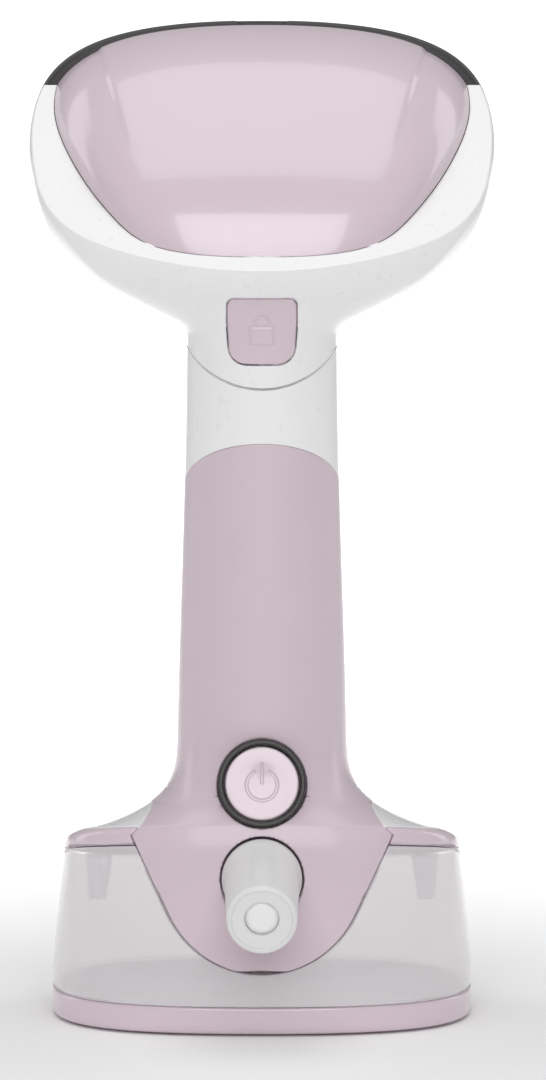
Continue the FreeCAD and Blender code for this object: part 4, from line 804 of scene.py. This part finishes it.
def cover_turn(level, margin):
    """Turn at which the rear cover ends at each level: on the tongue's outline, or at the handle's side."""
    def outside(turns):
        points = tongue_skin(level, turns)
        return np.abs(points[..., 0]) - tongue_half_width(points[..., 2]) + margin

    low, high = np.zeros_like(level), np.ones_like(level)
    for _ in range(32):
        middle = (low + high) / 2
        out = outside(middle) > 0
        high, low = np.where(out, middle, high), np.where(out, low, middle)
    return np.minimum((low + high) / 2, 1 - margin / 36)


def arch_level(turn, margin=0.0):
    """Level of the rear cover's arched upper edge."""
    def above(points):
        return points[..., 2] + margin - (COVER_TOP - COVER_DIP) + points[..., 1] * COVER_DIP / NECK_BACK

    return crossing(handle_skin, above, 100, 165, turn)


def with_pockets(points):
    """The dish of the cord guard and the flat round the power button, sunk into the rear cover."""
    from_axis = points - BUTTON
    out = from_axis @ BUTTON_AXIS
    radial = np.linalg.norm(from_axis - out[..., None] * BUTTON_AXIS, axis=-1)
    sunk = (1 - smooth(radial, 12.1, 14.0)) * np.clip(out + 0.1, 0, None)
    sunk = sunk + smooth(11.5 - radial, 0, 0.4) * 3.0
    points = points - (sunk * (points[..., 1] < -8))[..., None] * BUTTON_AXIS
    rear = points[..., 1] < -18
    points, off = snapped(points, lambda x, z: np.hypot(x, z - BALL[2]) - DISH + 0.1, 0.28, rear)
    inside = (off < -0.03) & rear
    reach = np.hypot(points[..., 0], points[..., 2] - BALL[2])
    floor = BALL[1] + np.sqrt(np.clip(DISH ** 2 - reach ** 2, 0, None))
    points[..., 1] = np.where(inside, floor, points[..., 1])
    return points


across = dense_turns(221, 1, 0.75)
tongue_low = 16.0 + GAP
lower = tongue_low + (GRIP_START - tongue_low) * np.concatenate([np.linspace(0, 0.3, 24)[:-1] ** 2 / 0.3,
                                                                 np.linspace(0.3, 1, 130)])
lower_turn = cover_turn(lower, GAP)
low_grid = tongue_skin(lower[:, None], lower_turn[:, None] * across)
side_turns = across * (1 - GAP / 36)
top = arch_level(side_turns, GAP)
high_grid = tongue_skin(GRIP_START + (top - GRIP_START) * seam_rows(90, 0.006)[1:, None], side_turns)
cover = with_pockets(np.concatenate([low_grid, high_grid]))
cover = rolled(cover, ("low", "high", "left", "right"), 1.7, 0.3)
mesh_piece("grip_back", cover, "handle", "pink_soft", replaces=("grip_cover",))

shell_low = SHOULDER + GAP
flare = np.concatenate([[0, 0.01], np.linspace(0.01, 1, 60)[1:]])
flare_level = shell_low + (GRIP_START - shell_low) * flare
rear_share = np.concatenate([[-1, -0.994], dense_turns(70, 0.99, 0.8), [0.994, 1]])
front_share = np.concatenate([[0, 0.008], np.linspace(0.02, 1, 60)])


def around(rear_end):
    """Turns of one row: the rear part up to the cover's edge on both sides, then round the front."""
    right = rear_end[..., None] + (2 - rear_end[..., None]) * front_share
    return np.concatenate([-right[..., ::-1][..., :-1], rear_end[..., None] * rear_share[1:-1], right], -1)


flare_grid = handle_skin(flare_level[:, None], around(cover_turn(flare_level, 0.0)))
round_turns = around(np.array(1.0))
arch = np.where(np.abs(round_turns) < 1, arch_level(np.clip(round_turns, -1, 1)), COVER_TOP - COVER_DIP)
mid_share = np.concatenate([np.linspace(0, 1, 50)[1:-1], [0.985, 0.998, 1]])[:, None]
mid_grid = handle_skin(GRIP_START + (arch - GRIP_START) * mid_share, round_turns)
neck_end = crossing(outer_skin, lambda p: arc_seam(p) + GAP, 150, PIVOT_Z + 20, round_turns)
neck_grid = outer_skin(arch + (neck_end - arch) * seam_rows(50, 0.006)[1:, None], round_turns)
shell = np.concatenate([flare_grid, mid_grid, neck_grid])
covered = np.zeros(shell.shape[:2], bool)
first, last = len(front_share) - 1, len(front_share) - 1 + len(rear_share) - 2
covered[:len(flare_grid) + len(mid_grid) - 1, first:last] = True
shell = shell - normals_of(shell) * np.where(covered, 2.4, 0)[..., None]
mesh_piece("handle_front", rolled(shell, ("low", "high"), 1.6, 0.3), "handle", "white_shell",
           replaces=("handle_shell",))


# ---- power button and its ring

ring_profile = rounded_profile(((9.75, -5.0), (9.75, -0.3), (9.75, 0.35), (10.1, 0.55), (10.85, 0.55),
                                (11.15, 0.2),
                                (11.15, -5.0)), 0.22)
mesh_piece("power_bezel", spun(ring_profile, BUTTON, BUTTON_AXIS, BUTTON_UP, 128), "handle", "dark_ring",
           closed=True, replaces=("power_ring",))
BUTTON_RADIUS = (BUTTON_HIGH[0] - BUTTON_LOW[0]) / 2
angle = np.linspace(0, 2 * math.pi, 240, endpoint=False)
BUTTON_TOP, BUTTON_EDGE = 0.15, 0.5
bend = np.linspace(0.2, math.pi / 2, 6)
flat_radius = BUTTON_RADIUS - BUTTON_EDGE
radius = np.concatenate([np.linspace(0, flat_radius, 100), flat_radius + BUTTON_EDGE * np.sin(bend),
                         [BUTTON_RADIUS] * 2])
height = np.concatenate([np.full(100, BUTTON_TOP), BUTTON_TOP - BUTTON_EDGE * (1 - np.cos(bend)),
                         [-1.0, -1.6]])
a, b = radius[:, None] * np.sin(angle), radius[:, None] * np.cos(angle)
dish = 0.35 * smooth(7.5 - radius, 0, 7.5)[:, None]
rise = height[:, None] - dish - 0.3 * groove(power_mark(a, b), 0.36, 0.16) * (radius < 8)[:, None]
side = np.cross(BUTTON_UP, BUTTON_AXIS)
disc = BUTTON - a[..., None] * side + b[..., None] * BUTTON_UP + rise[..., None] * BUTTON_AXIS
mesh_piece("power_key", disc[::-1], "power_button", "pink_shell", closed=True,
           replaces=("power_button",))


# ---- cord guard and its liner

DROOP = math.radians(6.0)
GUARD_BALL = 10.2
GUARD_AXIS = np.array([0.0, -math.cos(DROOP), -math.sin(DROOP)])
GUARD_UP = np.array([0.0, -math.sin(DROOP), math.cos(DROOP)])
ball_angle = np.radians(np.linspace(118, 22, 40))
dome = GUARD_BALL * np.stack([np.sin(ball_angle), np.cos(ball_angle)], -1)
dome = dome[dome[:, 1] < 3.0]
inner_lip = np.array([[7.6, -4.8]])
sleeve = np.array(((9.62, 4.2), (9.45, 6.5), (9.36, 12.0), (9.2, 20.0), (9.05, 28.0), (8.95, 33.4)))
mouth = rounded_profile(((8.93, 34.6), (8.9, 35.2), (8.0, 36.0), (7.75, 35.9), (7.7, 35.3), (4.75, 35.15),
                         (4.35, 34.8),
                         (4.35, 28.0)), 0.35)
guard_profile = np.concatenate([inner_lip, dome, sleeve, mouth])
guard = spun(guard_profile, BALL, GUARD_AXIS, GUARD_UP, 128)
mesh_piece("cord_sleeve", guard, "guard", "guard_grey", closed=True,
           replaces=("cord_guard",))
liner = rounded_profile(((0.0, 33.9), (3.4, 33.75), (4.3, 33.3), (4.3, 28.5)), 0.3)
mesh_piece("cord_liner", spun(liner, BALL, GUARD_AXIS, GUARD_UP, 96)[::-1], "guard", "white_shell",
           closed=True)


# ---- trigger

trigger_z = np.linspace(TRIGGER_LOW[2], TRIGGER_HIGH[2], 70)[:, None]
share = (trigger_z - TRIGGER_LOW[2]) / (TRIGGER_HIGH[2] - TRIGGER_LOW[2])
front_line = spline((0, 0.05, 0.15, 0.3, 0.5, 0.7, 0.85, 0.95, 1.0),
                    np.array((15.6, 17.4, 19.6, 21.4, 22.4, 21.5, 19.2, 16.4, 14.2)), share)
trigger_turn = np.linspace(-2, 2, 72, endpoint=False)
across_t, along_t = ring(trigger_turn, (TRIGGER_HIGH[0] - TRIGGER_LOW[0]) / 2, 3.0, front_line - 12.5, 0.82)
trigger_points = np.stack(np.broadcast_arrays(across_t, 12.5 + along_t, trigger_z), -1)
ridges = 0.25 * np.cos(2 * math.pi * trigger_z / 3.2)
ridges = ridges * smooth(share, 0.2, 0.3) * (1 - smooth(share, 0.72, 0.82))
trigger_points[..., 1] += ridges * smooth(along_t, 2, 5) * smooth(6.6 - np.abs(across_t), 0, 1.5)
mesh_piece("trigger_key", trigger_points, "trigger", "pink_shell", closed=True,
           ends=(True, True), replaces=("trigger",))


# ---- tank: foot, clear body, lid, filler plug

foot_turns = dense_turns(200, 2, 0.7, closed=True)
foot_levels = np.array((FOOT_LOW[2], FOOT_LOW[2] + 0.35, FOOT_LOW[2] + 1.0, 3.0, 5.0, FOOT_TOP - 0.7,
                        FOOT_TOP - 0.2))
foot_inset = np.array((1.1, 0.35, 0.0, 0.0, 0.0, 0.0, 0.12))


def foot_ring(level, inset):
    """Outline of the foot at this level, moved inwards by inset."""
    level = np.asarray(level, float)
    return level_section(level, foot_turns, 53.3 - inset, 34.0 - inset, 34.0 - inset, 0.0, 0.70)


foot = [foot_ring(FOOT_LOW[2], 14.0), foot_ring(FOOT_LOW[2], 6.3)]
foot += [foot_ring(level, inset) for level, inset in zip(foot_levels, foot_inset)]
foot += [foot_ring(FOOT_TOP, 0.5), foot_ring(FOOT_TOP, 1.6), foot_ring(FOOT_TOP - 0.3, 1.95),
         foot_ring(3.6, 2.2),
         foot_ring(3.1, 2.7), foot_ring(3.0, 14.0)]
mesh_piece("foot_dish", np.stack(foot), "tank", "pink_shell", closed=True, ends=(True, True),
           replaces=("tank_foot",))

tank_turns = dense_turns(280, 2, 0.6, closed=True)


def beside_tongue(points):
    """Positive inside the rear cover's outline, seen from behind."""
    half = tongue_half_width(points[..., 2])
    reach = np.where((points[..., 1] < 0) & (half > 0), half + 0.3, 0)
    return reach - np.abs(points[..., 0]) - 0.001


in_tongue = crossing(tank_skin, beside_tongue, FOOT_TOP + GAP, SEAM - GAP, tank_turns)
tank_rows = seam_rows(44, 0.008)[:, None]
tank_wall = tank_skin(FOOT_TOP + GAP + (in_tongue - FOOT_TOP - GAP) * tank_rows, tank_turns)
mesh_piece("tank_wall", rolled(tank_wall, ("low", "high"), 2.0, 0.3), "tank", "clear_tank",
           closed=True, replaces=("tank_body",))

lid_rows = np.array((0.0, 0.03, 0.2, 0.4, 0.55, 0.68, 0.8, 0.88, 0.94, 0.98, 1.0))


def lid_skin(level, turn):
    """Outside of the lid: from the tank's outline in to the shoulder's, slowly at first and then quickly."""
    part = spline((0, 0.5, 0.8, 1), (0, 0.08, 0.42, 1), (level - SEAM) / (SHOULDER - SEAM))
    return level_section(level, turn, 50.2 + (46.6 - 50.2) * part, 30.1 + (28.7 - 30.1) * part,
                         31.5 + (29.0 - 31.5) * part, SEAM_TILT, 0.70)


def lid_end(level):
    """Turn at which the lid meets the rear cover."""
    low, high = np.full_like(level, 0.1), np.ones_like(level)
    for _ in range(32):
        middle = (low + high) / 2
        points = lid_skin(level, middle)
        out = np.abs(points[..., 0]) - tongue_half_width(points[..., 2]) - 0.45 > 0
        high, low = np.where(out, middle, high), np.where(out, low, middle)
    return (low + high) / 2


lid_level = SEAM + GAP + (SHOULDER - SEAM - 2 * GAP) * lid_rows
end = lid_end(lid_level)[:, None]
round_share = np.linspace(-1, 1, 241)
lid_turn = np.where(round_share < 0, end + (1 + round_share) * (2 - end), -2 + round_share * (2 - end))
lid = lid_skin(lid_level[:, None], lid_turn)
mesh_piece("lid_band", rolled(lid, ("low", "high", "left", "right"), 2.0, 0.3), "tank", "pink_shell",
           replaces=("tank_lid",))

lug_across = ((38.0, 0.0), (44.6, 0.0), (43.8, -11.0), (39.5, -11.0))
for name, direction in (("lug_left", -1), ("lug_right", 1)):
    corners = np.array([(direction * across_x, 43.5 + up) for across_x, up in lug_across])
    outline = np.concatenate([np.linspace(corners[k - 1], corners[k], 12, endpoint=False) for k in range(4)])
    depth_steps = np.array((-17.5, -17.2, -14.0, -13.0))
    scale = np.array((0.90, 1.0, 1.0, 1.0))
    middle = corners.mean(0)
    lug = np.stack([np.stack([*(middle + (outline - middle) * k).T, np.full(len(outline), d)], -1)
                    for k, d in zip(scale, depth_steps)])[..., [0, 2, 1]]
    mesh_piece(name, lug if direction > 0 else lug[:, ::-1], "tank", "pink_shell", closed=True,
               ends=(True, True))

PLUG_LOW, PLUG_HIGH = cad_box("filler_plug")
plug_centre = np.array([0.0, PLUG_LOW[1], (PLUG_LOW[2] + PLUG_HIGH[2]) / 2])
plug_length = PLUG_HIGH[1] - PLUG_LOW[1]
plug_profile = rounded_profile(((0.0, plug_length - 0.9), (7.2, plug_length - 0.9), (8.5, plug_length - 1.1),
                                (8.5, plug_length - 1.9), (6.0, plug_length - 1.9), (5.9, 0.6), (5.4, 0.0),
                                (0.0, 0.0)), 0.4)
radial = np.linspace(0, 1, 5 * len(plug_profile))
steps = np.linspace(0, 1, len(plug_profile))
plug_profile = np.stack([np.interp(radial, steps, plug_profile[:, k]) for k in (0, 1)], -1)
plug = spun(plug_profile, plug_centre, np.array([0.0, 1.0, 0.0]), np.array([0.0, 0.0, 1.0]), 96)
bar = smooth(1.5 - np.abs(plug[..., 0]), -0.4, 0.4)
bar = bar * smooth(6.4 - np.abs(plug[..., 2] - plug_centre[2]), -0.4, 0.4)
plug[..., 1] += 0.9 * bar * (plug[..., 1] > plug_centre[1] + plug_length - 1.2)
mesh_piece("plug_cap", plug, "filler_plug", "pink_soft", closed=True, replaces=("filler_plug",))


# ---- stage, lights and camera


def paper(name, colour, roughness):
    """Studio paper with painted light: it glows where it lies far behind the object and near the middle across,
    with no lamp behind it.
    """
    f = Finish(name)
    place = f.node("TexCoord", output="Object")
    along = f.node("SeparateXYZ", output=1, Vector=place)
    across = f.node("Math", {"operation": "ABSOLUTE"}, **{"0": f.node("SeparateXYZ", output=0, Vector=place)})
    far = f.node("MapRange", {"interpolation_type": "SMOOTHSTEP"}, Value=along, From_Min=-0.05, From_Max=0.50)
    near = f.node("MapRange", {"interpolation_type": "SMOOTHSTEP"}, Value=across, From_Min=0.40,
                  From_Max=0.12)
    # painted light: the paper's glow, strongest far behind the object and near the middle across
    glow = far * near
    return f.surface(Base_Color=(*colour, 1), Roughness=roughness,
                     Emission_Color=f.between(glow, (0, 0, 0), (1, 1, 1)),
                     Emission_Strength=0.8)


def studio_floor():
    """A flat sheet, wide enough to fill the picture from every side."""
    reach = 9.0
    corners = ((-reach, -reach, 0), (reach, -reach, 0), (reach, reach, 0), (-reach, reach, 0))
    mesh = bpy.data.meshes.new("backdrop")
    mesh.from_pydata(corners, [], [(0, 1, 2, 3)])
    mesh.materials.append(paper("backdrop_paper", tone(250, 250, 250), 0.9))
    floor = bpy.data.objects.new("backdrop", mesh)
    bpy.context.scene.collection.objects.link(floor)


def softbox(name, at, aim, size_x, size_y, power, spread=180):
    """A rectangular light that faces a point, in metres and watts."""
    light = bpy.data.lights.new(name, "AREA")
    light.shape, light.size, light.size_y, light.energy = "RECTANGLE", size_x, size_y, power
    light.spread = math.radians(spread)
    holder = bpy.data.objects.new(name, light)
    bpy.context.scene.collection.objects.link(holder)
    holder.location = at
    holder.rotation_euler = (Vector(aim) - Vector(at)).to_track_quat("-Z", "Y").to_euler()
    return holder


studio_floor()
world = bpy.data.worlds.new("studio")
bpy.context.scene.world = world
world.use_nodes = True
world.node_tree.nodes["Background"].inputs["Color"].default_value = (1, 1, 1, 1)
light_path = world.node_tree.nodes.new("ShaderNodeLightPath")
strength = world.node_tree.nodes.new("ShaderNodeMath")
strength.operation = "MULTIPLY_ADD"
strength.inputs[1].default_value = 0.5
strength.inputs[2].default_value = 0.36
world.node_tree.links.new(light_path.outputs["Is Camera Ray"], strength.inputs[0])
world.node_tree.links.new(strength.outputs[0], world.node_tree.nodes["Background"].inputs["Strength"])
MIDDLE = (0, 0, HEIGHT / 2000)
softbox("top_box", (0, -0.2, 1.6), MIDDLE, 1.6, 1.2, 9)
softbox("key_box", (0, -2.2, 1.1), MIDDLE, 1.4, 1.2, 18)
softbox("left_box", (-1.4, 0.7, 0.6), MIDDLE, 0.5, 1.4, 3)
softbox("right_box", (1.4, 0.7, 0.6), MIDDLE, 0.5, 1.4, 3)

bpy.context.scene.view_settings.view_transform = "Standard"

ELEVATION = math.radians(10.0)
DISTANCE = 6.0
SHOWN_HEIGHT = 0.273996  # the picture's height where the object stands, in metres
AIM = Vector((0.0028, 0, 0.1219))
camera = bpy.data.cameras.new("camera")
camera.sensor_width = 36
camera.lens = camera.sensor_width * DISTANCE / SHOWN_HEIGHT
camera.clip_end = 50
holder = bpy.data.objects.new("camera", camera)
bpy.context.scene.collection.objects.link(holder)
back = Vector((0, -math.cos(ELEVATION), math.sin(ELEVATION)))
holder.location = AIM + back * DISTANCE
holder.rotation_euler = (-back).to_track_quat("-Z", "Y").to_euler()
bpy.context.scene.camera = holder
